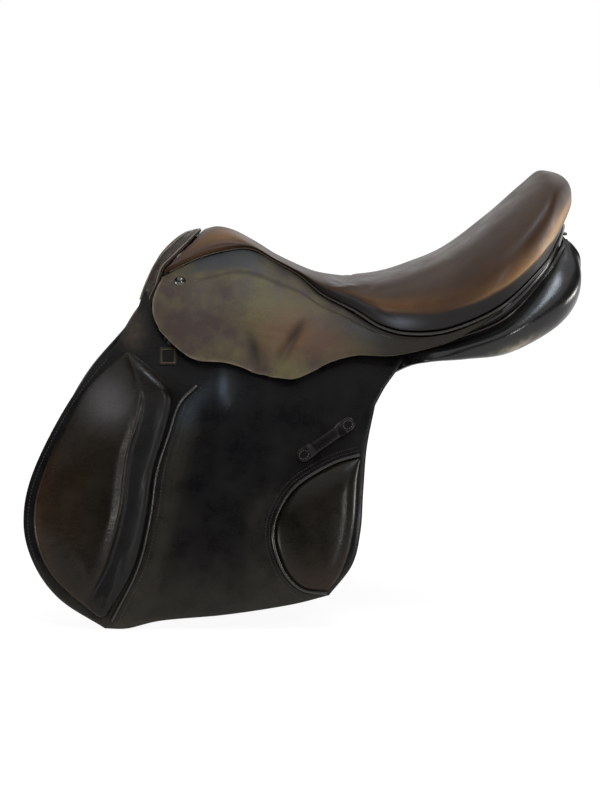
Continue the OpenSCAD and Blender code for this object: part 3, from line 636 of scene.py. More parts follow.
class Graph:
    """Nodes of one material, added one by one."""

    def __init__(self, name: str) -> None:
        """Starts a material with one plain shader."""
        self.material = bpy.data.materials.new(name)
        self.material.use_nodes = True
        self.tree = self.material.node_tree
        self.shader = next(n for n in self.tree.nodes if n.type == "BSDF_PRINCIPLED")
        self.coords = self.add("ShaderNodeTexCoord").outputs["Object"]

    def add(self, kind: str, inputs: dict | None = None, **settings: str | int | bool) -> bpy.types.Node:
        """Adds a node, sets its options, and fills or links its inputs.

        Args:
            kind: Blender's name for the node.
            inputs: Values or sockets by input.
            settings: Options by name.

        Returns:
            The node.
        """
        node = self.tree.nodes.new(kind)
        for key, value in settings.items():
            setattr(node, key, value)
        for key, value in (inputs or {}).items():
            if isinstance(value, bpy.types.NodeSocket):
                self.tree.links.new(value, node.inputs[key])
            else:
                node.inputs[key].default_value = value
        return node

    def noise(self, scale: float, detail: float = 3.0, vector: Socket | None = None) -> Socket:
        """Soft random pattern, scale waves to a metre."""
        inputs = {"Vector": vector or self.coords, "Scale": scale, "Detail": detail, "Roughness": 0.58}
        return self.add("ShaderNodeTexNoise", inputs).outputs[0]

    def cells(self, scale: float, feature: str = "F1") -> Socket:
        """Distance from the middle or the edge of random cells, scale of them to a metre."""
        inputs = {"Vector": self.coords, "Scale": scale}
        return self.add("ShaderNodeTexVoronoi", inputs, feature=feature).outputs["Distance"]

    def stretched(self, scale: Triple, turn: Triple = (0, 0, 0)) -> Socket:
        """Coordinates scaled by axis, after a turn in degrees.

        Args:
            scale: Scale along each axis.
            turn: Turn about each axis.

        Returns:
            The scaled coordinates.
        """
        turned = tuple(math.radians(a) for a in turn)
        inputs = {"Vector": self.coords, "Scale": scale, "Rotation": turned}
        return self.add("ShaderNodeMapping", inputs).outputs["Vector"]

    def math(self, operation: str, a: Socket | float, b: Socket | float = 0.0) -> Socket:
        """One sum on two numbers."""
        return self.add("ShaderNodeMath", {0: a, 1: b}, operation=operation).outputs[0]

    def remap(self, value: Socket, low: float, high: float, to_low: float, to_high: float) -> Socket:
        """Carries a range of values to another, and holds its ends."""
        inputs = {"Value": value, "From Min": low, "From Max": high, "To Min": to_low, "To Max": to_high}
        return self.add("ShaderNodeMapRange", inputs).outputs["Result"]

    def blend(self, share: Socket | float, a: Socket | Colour, b: Socket | Colour) -> Socket:
        """Mixes two colours."""
        a, b = (c if isinstance(c, bpy.types.NodeSocket) else (*c, 1.0) for c in (a, b))
        return self.add("ShaderNodeMix", {0: share, 6: a, 7: b}, data_type="RGBA").outputs[2]

    def painted(self, name: str) -> Socket:
        """Number painted on the mesh under a name, 0 where there is none."""
        return self.add("ShaderNodeAttribute", attribute_name=name).outputs["Fac"]

    def finish(
        self, colour: Socket, roughness: Socket, height: Socket, depth: float, **sockets: float
    ) -> None:
        """Links colour, roughness and relief to the shader and sets its plain values.

        Args:
            colour: Colour of the surface.
            roughness: Its roughness.
            height: Its relief.
            depth: Depth of the relief in millimetres.
            sockets: Plain values by socket, with _ for a space.
        """
        links = self.tree.links
        relief = self.add("ShaderNodeBump", {"Height": height, "Strength": 1.0, "Distance": depth * MM})
        links.new(colour, self.shader.inputs["Base Color"])
        links.new(roughness, self.shader.inputs["Roughness"])
        links.new(relief.outputs["Normal"], self.shader.inputs["Normal"])
        for name, value in sockets.items():
            self.shader.inputs[name.replace("_", " ")].default_value = value


class Finish:
    """A finish makes its material once and gives it to every piece that wears it."""

    _made: dict[str, bpy.types.Material] = {}
    name: str

    def material(self) -> bpy.types.Material:
        """The material of this finish."""
        if self.name not in Finish._made:
            graph = Graph(self.name)
            self.mix_nodes(graph)
            Finish._made[self.name] = graph.material
        return Finish._made[self.name]

    def mix_nodes(self, graph: Graph) -> None:
        """Fills the material's nodes."""
        raise NotImplementedError


@dataclass(frozen=True)
class Leather(Finish):
    """Dyed, waxed leather with grain, creases and rubbed places, plus a painted warm tint, painted
    highlights, cool reflections and shade.
    """

    name: str
    deep: Colour
    tone: Colour
    # glow: warm tint, also laid as painted highlights on the seat and as a painted sheen on the flap
    glow: Colour
    # colour of rubbed places and of painted highlights
    worn_and_highlight: Colour
    shade: Colour = (0.008, 0.0075, 0.0075)
    # tint of painted cool reflections and sheen
    cool_reflection: Colour = (0.045, 0.050, 0.050)
    roughness: float = 0.4
    pebbles: float = 620.0
    grain: float = 0.16
    creases: float = 0.2
    specular: float = 0.5
    coat: float = 0.12
    blotch: float = 9.0
    contrast: float = 0.14
    scuffed: float = 0.35

    def mix_nodes(self, graph: Graph) -> None:
        """Mottled dye, pebbled grain, creases, rubbed edges, and painted highlights, reflections and shade.

        Args:
            graph: Nodes of the material.
        """
        mottle = graph.noise(self.blotch, 6)
        cloud = graph.noise(42, 5)
        both = graph.math("ADD", graph.math("MULTIPLY", mottle, 0.65), graph.math("MULTIPLY", cloud, 0.35))
        patches = graph.remap(both, 0.5 - self.contrast, 0.5 + self.contrast, 0, 1)
        dye = graph.blend(patches, self.deep, self.tone)
        # painted warm tint, painted highlights and sheen, from the glow numbers
        warm = graph.math("MULTIPLY", graph.painted("glow"), graph.remap(cloud, 0.3, 0.7, 0.65, 1.0))
        dye = graph.blend(warm, dye, self.glow)
        dye = graph.blend(graph.painted("shade"), dye, self.shade)
        # painted cool reflections and sheen, from the cool numbers
        dye = graph.blend(graph.math("MULTIPLY", graph.painted("cool_reflection"), 0.8), dye, self.cool_reflection)
        pebble = graph.cells(self.pebbles)
        pores = graph.remap(pebble, 0.45, 0.85, 0, 0.16)
        dye = graph.blend(pores, dye, tuple(c * 0.45 for c in self.deep))
        # rubbed places and painted highlights, from the wear numbers
        scuffs = graph.remap(graph.noise(110, 6), 0.42, 0.62, self.scuffed, 1.0)
        wear_and_highlight = graph.math("MULTIPLY", graph.painted("wear_and_highlight"), scuffs)
        dye = graph.blend(wear_and_highlight, dye, self.worn_and_highlight)
        streaks = graph.noise(190, 3, graph.stretched((0.22, 1.0, 1.0), (0, 24, 0)))
        crease = graph.math("SUBTRACT", 1.0, graph.math("ABSOLUTE", graph.math("SUBTRACT", streaks, 0.5)))
        fold = graph.math("POWER", crease, 14.0)
        lines = graph.math("MULTIPLY", fold, graph.math("ADD", graph.painted("crease"), 0.12))
        hair = graph.noise(1900, 2)
        height = graph.math("MULTIPLY", pebble, -self.grain)
        height = graph.math("ADD", height, graph.math("MULTIPLY", hair, self.grain * 0.5))
        height = graph.math("SUBTRACT", height, graph.math("MULTIPLY", lines, self.creases))
        rough = graph.remap(cloud, 0.3, 0.7, self.roughness - 0.07, self.roughness + 0.08)
        rough = graph.math("ADD", rough, graph.math("MULTIPLY", pores, 0.15))
        rough = graph.math("ADD", rough, graph.math("MULTIPLY", graph.painted("shade"), 0.12))
        gloss = {"Coat_Weight": self.coat, "Coat_Roughness": 0.28, "Specular_IOR_Level": self.specular}
        graph.finish(dye, rough, height, 0.9, **gloss)


@dataclass(frozen=True)
class CutEdge(Finish):
    """Burnished cut edge of a leather piece, paler than its face."""

    name: str
    tone: Colour
    pale: Colour

    def mix_nodes(self, graph: Graph) -> None:
        """Fibres along the cut under wax.

        Args:
            graph: Nodes of the material.
        """
        fibre = graph.noise(900, 4, graph.stretched((0.3, 1, 1)))
        dye = graph.blend(graph.remap(fibre, 0.35, 0.65, 0, 1), self.tone, self.pale)
        graph.finish(dye, graph.remap(fibre, 0.3, 0.7, 0.42, 0.6), fibre, 0.3)


@dataclass(frozen=True)
class Steel(Finish):
    """Steel with fine scratches and dull spots."""

    name: str
    tone: Colour
    dull: Colour
    roughness: float = 0.2

    def mix_nodes(self, graph: Graph) -> None:
        """Scratches and tarnish over bright metal.

        Args:
            graph: Nodes of the material.
        """
        spots = graph.noise(130, 6)
        scratch = graph.noise(700, 3, graph.stretched((0.12, 1, 1), (0, 0, 31)))
        colour = graph.blend(graph.remap(spots, 0.42, 0.68, 0, 1), self.tone, self.dull)
        rough = graph.remap(spots, 0.35, 0.7, self.roughness, self.roughness + 0.22)
        graph.finish(colour, rough, scratch, 0.05, Metallic=1.0)


@dataclass(frozen=True)
class Thread(Finish):
    """Waxed linen thread."""

    name: str
    tone: Colour
    pale: Colour

    def mix_nodes(self, graph: Graph) -> None:
        """Twisted strands, a little paler where they rub.

        Args:
            graph: Nodes of the material.
        """
        twist = graph.noise(2600, 2, graph.stretched((1, 1, 0.4), (35, 20, 0)))
        colour = graph.blend(graph.remap(twist, 0.35, 0.65, 0, 1), self.tone, self.pale)
        graph.finish(colour, graph.remap(twist, 0.3, 0.7, 0.5, 0.72), twist, 0.25)


@dataclass(frozen=True)
class Wood(Finish):
    """Laminated beech under dark varnish."""

    name: str
    tone: Colour
    pale: Colour

    def mix_nodes(self, graph: Graph) -> None:
        """Plies and long grain.

        Args:
            graph: Nodes of the material.
        """
        grain = graph.noise(120, 5, graph.stretched((0.12, 1, 1)))
        plies = graph.noise(420, 1, graph.stretched((0.05, 0.2, 1)))
        both = graph.math("ADD", graph.math("MULTIPLY", grain, 0.6), graph.math("MULTIPLY", plies, 0.4))
        colour = graph.blend(graph.remap(both, 0.38, 0.62, 0, 1), self.tone, self.pale)
        graph.finish(colour, graph.remap(grain, 0.3, 0.7, 0.34, 0.5), grain, 0.2, Coat_Weight=0.2)


@dataclass(frozen=True)
class Weave(Finish):
    """Plain woven webbing or lining cloth."""

    name: str
    tone: Colour
    pale: Colour
    threads: float = 620.0

    def mix_nodes(self, graph: Graph) -> None:
        """Crossing threads with slubs.

        Args:
            graph: Nodes of the material.
        """
        warp = self.threads_along(graph, "X")
        weft = self.threads_along(graph, "Y")
        cloth = graph.math("MULTIPLY", warp, weft)
        slub = graph.noise(240, 4)
        colour = graph.blend(graph.remap(slub, 0.35, 0.65, 0.2, 1), self.tone, self.pale)
        colour = graph.blend(graph.remap(cloth, 0.0, 0.4, 0.5, 0), colour, tuple(c * 0.4 for c in self.tone))
        graph.finish(colour, graph.remap(slub, 0.3, 0.7, 0.75, 0.92), cloth, 0.4)

    def threads_along(self, graph: Graph, axis: str) -> Socket:
        """Bands of thread across one axis."""
        inputs = {"Vector": graph.coords, "Scale": self.threads / 20, "Distortion": 0.3}
        return graph.add("ShaderNodeTexWave", inputs, bands_direction=axis).outputs["Fac"]


SEAT_LEATHER = Leather(
    "seat_leather", (0.025, 0.012, 0.007), (0.048, 0.024, 0.013),
    (0.178, 0.086, 0.031), (0.54, 0.32, 0.13),
    roughness=0.40, grain=0.03, coat=0.0, specular=0.24, cool_reflection=(0.110, 0.118, 0.140), scuffed=0.8,
)
SKIRT_LEATHER = Leather(
    "skirt_leather", (0.058, 0.041, 0.035), (0.114, 0.099, 0.047),
    (0.125, 0.066, 0.034), (0.26, 0.21, 0.15),
    roughness=0.46, grain=0.04, creases=0.2, specular=0.16, coat=0.0, blotch=17.0, contrast=0.10,
    shade=(0.012, 0.0105, 0.012), cool_reflection=(0.036, 0.042, 0.047),
)
FLAP_LEATHER = Leather(
    "flap_leather", (0.0026, 0.0022, 0.0030), (0.0065, 0.0052, 0.0054),
    (0.030, 0.026, 0.019), (0.05, 0.036, 0.026),
    roughness=0.29, grain=0.035, creases=0.10, specular=0.17, coat=0.0, cool_reflection=(0.055, 0.070, 0.085),
)
PAD_LEATHER = Leather(
    "pad_leather", (0.0050, 0.0040, 0.0026), (0.0115, 0.0088, 0.0052),
    (0.046, 0.021, 0.008), (0.06, 0.036, 0.020),
    roughness=0.27, grain=0.04, creases=0.15, specular=0.18, coat=0.0, cool_reflection=(0.090, 0.083, 0.084),
)
PANEL_LEATHER = Leather(
    "panel_leather", (0.0055, 0.0055, 0.0055), (0.014, 0.0135, 0.013),
    (0.045, 0.036, 0.028), (0.32, 0.27, 0.18),
    roughness=0.19, grain=0.05, creases=0.15, specular=0.38, coat=0.0,
)
ARCH_LEATHER = Leather(
    "arch_leather", (0.007, 0.0045, 0.004), (0.036, 0.021, 0.014),
    (0.060, 0.030, 0.018), (0.12, 0.08, 0.055),
    roughness=0.42, pebbles=380, grain=0.5, creases=0.4, specular=0.35, coat=0.0,
)
WELT_LEATHER = Leather(
    "welt_leather", (0.008, 0.0065, 0.005), (0.020, 0.0155, 0.011),
    (0.05, 0.03, 0.015), (0.08, 0.06, 0.04),
    roughness=0.22, grain=0.03, creases=0.1, specular=0.5,
)
CORD_LEATHER = Leather(
    "cord_leather", (0.085, 0.064, 0.042), (0.190, 0.150, 0.100),
    (0.12, 0.07, 0.03), (0.2, 0.16, 0.11),
    roughness=0.36, grain=0.05, specular=0.4,
)
STRAP_LEATHER = Leather(
    "strap_leather", (0.009, 0.0065, 0.005), (0.022, 0.015, 0.010),
    (0.060, 0.036, 0.020), (0.08, 0.052, 0.032),
    roughness=0.40, grain=0.07, specular=0.35, coat=0.05,
)
DARK_EDGE = CutEdge("dark_edge", (0.016, 0.012, 0.010), (0.045, 0.034, 0.026))
PALE_EDGE = CutEdge("pale_edge", (0.085, 0.066, 0.044), (0.20, 0.165, 0.115))
BRIGHT_STEEL = Steel("bright_steel", (0.70, 0.69, 0.66), (0.42, 0.40, 0.37))
TREE_STEEL = Steel("tree_steel", (0.36, 0.36, 0.36), (0.20, 0.19, 0.18), roughness=0.36)
NAIL_STEEL = Steel("nail_steel", (0.10, 0.095, 0.085), (0.045, 0.042, 0.036), roughness=0.14)
OLD_BRASS = Steel("old_brass", (0.16, 0.125, 0.05), (0.05, 0.04, 0.02), roughness=0.34)
DARK_THREAD = Thread("dark_thread", (0.018, 0.015, 0.013), (0.055, 0.046, 0.038))
BROWN_THREAD = Thread("brown_thread", (0.060, 0.050, 0.036), (0.17, 0.14, 0.10))
TREE_WOOD = Wood("tree_wood", (0.055, 0.034, 0.020), (0.16, 0.10, 0.058))
WEBBING = Weave("webbing", (0.20, 0.16, 0.105), (0.36, 0.30, 0.21))
LINING = Weave("lining", (0.014, 0.012, 0.011), (0.034, 0.030, 0.027), threads=900)


@dataclass(frozen=True)
class Fold:
    """Line between the tree and the body that hangs from it; a piece given it is baked in place, not bent.
    """

    body: str
    front: Triple
    rear: Triple
    outward: Triple
    reach: float = 6.0

    def bend(self, obj: bpy.types.Object, side: Side) -> None:
        """Bakes the piece's placement into its mesh, without bending it or hanging it on the body.

        Args:
            obj: The piece.
            side: Side that it lies on; not used.
        """
        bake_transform(obj)


FLAP_FOLD = Fold("flap", (-252, -102.3, 17), (25, -132.05, -47), (0, -0.9, 0.43), 5.0)
SKIRT_FOLD = Fold("skirt", (-214, -92, 61), (34, -122, 7), (0, -0.86, 0.5), 7.0)


def settle(
    obj: bpy.types.Object,
    finishes: Sequence[Finish],
    body: str | Fold,
    replaced: Sequence[str] = (),
    side: Side = Side.NEAR,
) -> bpy.types.Object:
    """Dresses a piece and hangs it on its body, or for a fold leaves it baked in place.

    Args:
        obj: The finished mesh.
        finishes: Its finishes, face first and cut edge second.
        body: Body that carries it, or the fold, which leaves it unbent in place.
        replaced: CAD nodes that it stands for.
        side: Side that it lies on.

    Returns:
        The piece.
    """
    obj.data.materials.clear()
    for finish in finishes:
        obj.data.materials.append(finish.material())
    if isinstance(body, Fold):
        body.bend(obj, side)
    else:
        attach(obj, body)
    if replaced:
        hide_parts(*replaced)
    LOG.info("%s: %d faces", obj.name, len(obj.data.polygons))
    return obj


def settle_pair(
    near: bpy.types.Object,
    name: str,
    finishes: Sequence[Finish],
    body: str | Fold,
    replaced: Sequence[str] = (),
) -> None:
    """Mirrors a near-side piece and settles both, with {side} in names filled in.

    Args:
        near: The finished near-side mesh.
        name: Name of the pieces, with {side} in it.
        finishes: Finishes of both.
        body: Body or fold of both, with {side} in a body's name.
        replaced: CAD nodes that they stand for, with {side} in their names.
    """
    near.name = near.data.name = name.format(side=Side.NEAR.value)
    far = mirror_piece(near, name.format(side=Side.FAR.value))
    for side, obj in ((Side.NEAR, near), (Side.FAR, far)):
        carried = body if isinstance(body, Fold) else body.format(side=side.value)
        nodes = [n.format(side=side.value) for n in replaced]
        settle(obj, finishes, carried, nodes, side)


# Studio


@dataclass
class Studio:
    """Camera of the photograph, pale floor and soft light."""

    target: Triple = (-0.055, 0.0, -0.055)
    elevation: float = 6.0
    distance: float = 4.0
    lens: float = 163.6
    floor_size: float = 60.0
    floor_z: float = -0.277

    def build(self) -> None:
        """Makes the camera, the lights, the surroundings and the floor."""
        bpy.context.scene.view_settings.view_transform = "Standard"
        self.add_camera()
        self.add_light("top_softbox", (-0.10, -0.20, 2.10), (3.4, 3.8), 36.0)
        self.add_light("far_softbox", (0.05, 2.10, 1.30), (2.6, 1.2), 9.5)
        self.add_light("sky_window", (0.45, -0.38, 1.90), (0.9, 0.30), 12.5, (0.80, 0.90, 1.0))
        self.add_light("side_window", (2.30, 0.40, 0.10), (1.4, 0.30), 24.0, (1.0, 0.97, 0.92))
        self.add_light("right_window", (0.83, -2.10, 0.84), (0.3, 0.5), 9.0)
        self.add_light("left_window", (-2.50, -0.50, 0.00), (0.5, 0.4), 14.0)
        self.add_surroundings()
        self.add_floor()

    def add_camera(self) -> None:
        """Puts the camera level with the near side, a little above it."""
        bpy.ops.object.camera_add()
        camera = bpy.context.object
        tilt = math.radians(self.elevation)
        back = Vector((0, -math.cos(tilt), math.sin(tilt)))
        camera.location = Vector(self.target) + back * self.distance
        camera.rotation_euler = (-back).to_track_quat("-Z", "Y").to_euler()
        camera.data.lens = self.lens
        camera.data.sensor_width = 36.0
        camera.data.clip_end = 200.0
        camera.data.dof.use_dof = False
        bpy.context.scene.camera = camera

    def add_light(
        self,
        name: str,
        place: Triple,
        size: tuple[float, float],
        power: float,
        colour: Colour = (1, 1, 1),
    ) -> None:
        """Adds one soft panel of light, turned to the saddle.

        Args:
            name: Name of the lamp.
            place: Its place, in metres.
            size: Its width and height, in metres.
            power: Its power, in watts.
            colour: Its colour.
        """
        bpy.ops.object.light_add(type="AREA", location=place)
        lamp = bpy.context.object
        lamp.name = name
        aim = Vector(self.target) - Vector(place)
        lamp.rotation_euler = aim.to_track_quat("-Z", "Y").to_euler()
        lamp.data.shape = "RECTANGLE"
        lamp.data.size, lamp.data.size_y = size
        lamp.data.energy = power
        lamp.data.color = colour

    def add_surroundings(self) -> None:
        """Pale walls near the horizon under a dim ceiling."""
        world = bpy.data.worlds.new("studio")
        bpy.context.scene.world = world
        world.use_nodes = True
        tree = world.node_tree
        direction = tree.nodes.new("ShaderNodeTexCoord").outputs["Generated"]
        split = tree.nodes.new("ShaderNodeSeparateXYZ")
        tree.links.new(direction, split.inputs[0])
        ramp = tree.nodes.new("ShaderNodeMapRange")
        ramp.interpolation_type = "SMOOTHSTEP"
        for key, value in {"From Min": 0.16, "From Max": 0.42, "To Min": 1.0, "To Max": 0.06}.items():
            ramp.inputs[key].default_value = value
        tree.links.new(split.outputs["Z"], ramp.inputs["Value"])
        back = tree.nodes["Background"]
        back.inputs["Color"].default_value = (1, 1, 1, 1)
        tree.links.new(ramp.outputs["Result"], back.inputs["Strength"])

    def add_floor(self) -> None:
        """White floor that glows for the eye and keeps the saddle's shadow."""
        bpy.ops.object.select_all(action="DESELECT")
        bpy.ops.mesh.primitive_plane_add(size=self.floor_size, location=(0, 0, self.floor_z))
        floor = bpy.context.object
        floor.name = "floor"
        graph = Graph("floor_white")
        tree = graph.tree
        away = graph.add("ShaderNodeVectorMath", {0: graph.coords}, operation="LENGTH").outputs["Value"]
        path = graph.add("ShaderNodeLightPath").outputs
        seen = graph.math("MAXIMUM", path["Is Camera Ray"], path["Is Glossy Ray"])
        seen = graph.math("MAXIMUM", seen, path["Is Transmission Ray"])
        matt = graph.add("ShaderNodeBsdfDiffuse", {"Color": (0.86, 0.86, 0.86, 1)}).outputs[0]
        strength = graph.remap(away, 0.8, 4.0, 1.2, 1.33)
        glow = graph.add("ShaderNodeEmission", {"Strength": strength}).outputs[0]
        both = graph.add("ShaderNodeMixShader", {0: graph.math("MULTIPLY", seen, 0.75), 1: matt, 2: glow})
        out = next(n for n in tree.nodes if n.type == "OUTPUT_MATERIAL")
        tree.links.new(both.outputs[0], out.inputs["Surface"])
        tree.nodes.remove(graph.shader)
        floor.data.materials.append(graph.material)


# Seat


@dataclass
class Seat:
    """Seat cushion with its seam, its piping, the arch strip in front and the strip behind."""

    # Seam on the near side as x, half width and height, from pommel to cantle
    seam: tuple = (
        (-203, 67, 89), (-163, 50, 107), (-129, 42, 115), (-106, 40, 115), (-82, 42, 102), (-55, 48, 87),
        (-31, 66, 69), (3, 88, 54), (31, 106, 38), (62, 124, 32), (104, 138, 37), (157, 142, 61),
        (200, 116, 98), (219, 80, 121), (233, 0, 141),
    )
    # Middle line as x and height, point for point with the seam
    crest: tuple = (
        (-161, 133), (-145, 136.5), (-126, 132), (-106, 121), (-80, 105), (-55, 92.6), (-33, 85),
        (0, 81.5), (33, 85), (62, 94), (104, 112), (150, 148), (185, 180.5), (200, 195), (209, 197),
    )
    wall: tuple = (5, 4, 3, 2, 2, 3, 7, 13, 17, 20, 20, 19, 16, 17, 24)
    roll: tuple = (2, 2, 2, 2, 2, 2, 3, 4, 5, 5, 5, 4, 2, 4, 8)
    wall_share: float = 0.78
    leather: float = 2.2
    cushion: float = 19.6
    welt: float = 3.6
    lay_gap: float = 0.4
    columns: int = 108
    rows: int = 46
    arch: tuple = (
        (-177, 0, 128), (-180, -12, 127), (-188, -25, 122), (-199, -37, 112), (-210, -48, 99),
        (-218, -58, 84), (-224, -69.4, 69), (-228, -77, 55),
    )
    arch_lip: float = 9.0
    arch_leather: float = 2.0
    strip_start: float = 0.68
    strip_height: float = 12.0
    strip_leather: float = 2.4

    def welt_share(self, t: Array) -> Array:
        """Share of the piping's thickness along the seam, thin at the pommel."""
        return mix(0.42, 1, smooth_step(0.34, 0.52, t))

    def welt_drop(self, t: Array) -> Array:
        """Drop of the piping's middle below the seam."""
        fall = 0.78 * self.welt * self.welt_share(t) + self.lay_gap
        return np.outer(fall, [0, 0, 1])

    def seam_at(self, t: Array) -> Array:
        """Points of the near seam, from pommel to cantle."""
        mirrored = (*self.seam, (self.seam[-2][0], -self.seam[-2][1], self.seam[-2][2]))
        n = len(self.seam) - 1
        return spline(mirrored, np.asarray(t, float) * n / (n + 1)) * [1, -1, 1]

    def crest_at(self, t: Array) -> Array:
        """Points of the middle line as x and height."""
        n = len(self.crest) - 1
        return spline((*self.crest, self.crest[-2]), np.asarray(t, float) * n / (n + 1))

    def out_at(self, t: Array) -> Array:
        """Level direction out of the seam."""
        t = np.asarray(t, float)
        d = self.seam_at(np.minimum(1, t + 0.01)) - self.seam_at(np.maximum(0, t - 0.01))
        out = units(np.stack([np.maximum(d[:, 1], 0), -np.abs(d[:, 0]), np.zeros(len(d))], axis=1))
        return np.where((t > 0.999)[:, None], [1.0, 0, 0], out)

    def skin(self, t: Array, v: Array) -> Array:
        """Points of the leather at t along the seat and v from its middle line to its seam.

        Args:
            t: Places from the pommel to the cantle.
            v: Places from the middle line to the seam.

        Returns:
            Points of the near side.
        """
        c, w = self.crest_at(t), self.seam_at(t)
        up = np.stack([np.zeros_like(t), np.zeros_like(t), spline(self.wall, t)], axis=1)
        e = w + spline(self.roll, t)[:, None] * self.out_at(t) + up
        k = smooth_step(0, 0.15, t)
        a = np.pi / 2 * np.minimum(1, v / self.wall_share)
        g = np.clip((v - self.wall_share) / (1 - self.wall_share), 0, 1)
        wide, bend = np.sin(a) ** 0.9, np.sin(a) ** 1.9
        along = mix(bend, wide, k)
        square = mix(0.9, 0.62, smooth_step(0.70, 0.90, t))
        fall = mix(bend, 1 - np.maximum(np.cos(a), 0) ** square, k)
        over = np.stack(
            [mix(c[:, 0], e[:, 0], along), e[:, 1] * wide, mix(c[:, 1], e[:, 2], fall)], axis=1
        )
        return np.where((g > 0)[:, None], mix(e, w, (g**1.5)[:, None]), over)

    def at(self, t: Array, v: Array, depth: Array | float) -> Array:
        """Points a depth inside the seat's skin.

        Args:
            t: Places from the pommel to the cantle.
            v: Places from the middle line to the seam.
            depth: Depth below the skin.

        Returns:
            Points of the near side.
        """
        p, c = self.skin(t, v), self.crest_at(t)
        heart = np.stack([np.minimum(c[:, 0], 190), np.zeros_like(t), c[:, 1] - 75], axis=1)
        return p - np.reshape(depth, (-1, 1)) * units(p - heart)

    def both_sides(self, u: Array, v: Array, depth: Array | float) -> Array:
        """Points over the whole seat, with u from the near pommel round the cantle to the far pommel."""
        t = 1 - np.abs(2 * u - 1)
        return self.at(t, v, depth) * over_to_far(u)

    def build(self) -> None:
        """Makes the cushion and the leather that goes with it."""
        self.build_cushion()
        self.build_welt()
        self.build_arch()
        self.build_strip()

    def build_cushion(self) -> None:
        """Blows the seat up between its seam and its foam's underside."""

        def top(u: Array, v: Array) -> Array:
            """Skin before it is blown up, a little inside its final place."""
            return self.both_sides(u, v, 0.8 * bump(v, 0.5))

        def under(u: Array, v: Array) -> Array:
            """Underside of the foam, which meets the skin at the seam."""
            inner = mix(self.cushion, self.leather, smooth_step(0.45, 0.8, v))
            return self.both_sides(u, v, inner + 6.0 * bump(np.clip((v - 0.6) / 0.4, 0, 1), 0.8))

        obj, u, v, upper = raise_cushion("seat", 2 * self.columns, self.rows, top, under)
        t = 1 - np.abs(2 * u - 1)
        self.paint_cushion(obj, t, v, upper)
        paint(obj, "held", 1.0 * (~upper | (v > 0.97) | (t < 0.45)))
        drop_faces(obj, v < 1e-4)
        mend_normals(obj, 0.02)
        inflate(obj, painted(obj, "held") < 0.5, 2.0)
        subdivide(obj)
        soften(obj, 60)
        settle(obj, [SEAT_LEATHER], "tree", ["seat_cover", "seat_foam"])

    def paint_cushion(self, obj: bpy.types.Object, t: Array, v: Array, upper: Array) -> None:
        """Paints the seat's rubbed places and its painted warm tints, highlights, reflections and shade.

        Args:
            obj: The seat.
            t: Place of each vertex along the seat.
            v: Place of each vertex from the middle line to the seam.
            upper: Which vertices are on the skin.
        """
        # glow numbers: painted highlights on the pommel hump and along the cantle rim, and a warmer patch
        # low on the side
        hump = bell(t, 0.13, 0.09) * bell(v, 0.34, 0.26)
        rear = smooth_step(0.70, 0.88, t)
        peak = smooth_step(0.84, 0.96, t)
        rim = rear * bell(v, mix(0.74, 0.80, rear) - 0.05 * peak, 0.07)
        belly = bell(t, 0.6, 0.10) * bell(v, 0.70, 0.10)
        paint(obj, "glow", np.clip(1.2 * hump + 1.0 * rim + 0.6 * belly, 0, 1) * upper)
        # painted highlight along the cantle rim, laid in the wear numbers, with a little rubbed wear on the
        # pommel hump
        gleam = rear * mix(0.75, 0.1, smooth_step(0.93, 1.0, t)) * bell(v, 0.805 - 0.06 * peak, 0.030)
        paint(obj, "wear_and_highlight", (0.15 * bell(t, 0.08, 0.06) * bell(v, 0.9, 0.1) + gleam) * upper)
        wall = smooth_step(mix(0.76, 0.83, rear) - 0.06 * peak, mix(0.88, 0.91, rear) - 0.06 * peak, v)
        paint(obj, "shade", 0.95 * wall * smooth_step(0.25, 0.5, t) * upper)
        # painted cool reflections on the wall: a bluish patch low on the side and a pale line near the
        # cantle
        sky_reflection = 0.5 * smooth_step(0.80, 0.92, t) * bell(v, 0.89 - 0.04 * peak, 0.025)
        paint(obj, "cool_reflection", (bell(t, 0.62, 0.035) * bell(v, 0.93, 0.05) + sky_reflection) * upper)

    def build_welt(self) -> None:
        """Runs the piping under the seam from one side to the other."""
        t = np.linspace(0.012, 1, 120)
        near = near_then_far(self.seam_at(t) - self.welt_drop(t))
        share = self.welt_share(t)
        obj = raise_tube("seat_welt_piping", near, self.welt, 3, np.concatenate([share, share[-2::-1]]))
        paint(obj, "glow", smooth_step(-20, -70, places(obj)[:, 0] / MM))
        settle(obj, [WELT_LEATHER], "tree", ["seat_welt"])

    def arch_point(self, s: Array, v: Array) -> Array:
        """Points of the arch strip, from its line on the seat over the arch's edge and in under it.

        Args:
            s: Places from the near side over the arch to the far side.
            v: Places from the seat forwards.

        Returns:
            One point a place.
        """
        sides = np.array([0, 0.22, 0.44, 0.66, 0.97])
        back = self.at(np.zeros(5), sides, 0.0) - [2, 0, 0]
        back = np.concatenate([back, [(-209, -64, 76), (-214, -68.2, 66), (-219, -74.2, 55)]])
        a = spline(near_then_far(back[::-1]), s)
        b = spline(near_then_far(np.array(self.arch[::-1], float)), s)
        k = 2 * s - 1
        out = units(np.stack([np.full_like(s, -0.5), 0.9 * k, 1.3 - np.abs(k)], axis=1))
        over = mix(a, b, 0.5) + 2.5 * out
        lip = b + [self.arch_lip, 0, 0] - 0.7 * self.arch_lip * out
        lines = np.stack([a, over, b, lip])
        rows = np.arange(len(s))
        place = np.clip(v, 0, 1) * 3
        i = np.minimum(place.astype(int), 2)
        p1, p2 = lines[i, rows], lines[i + 1, rows]
        p0 = np.where((i > 0)[:, None], lines[np.maximum(i - 1, 0), rows], 2 * p1 - p2)
        p3 = np.where((i < 2)[:, None], lines[np.minimum(i + 2, 3), rows], 2 * p2 - p1)
        return cubic(p0, p1, p2, p3, (place - i)[:, None])

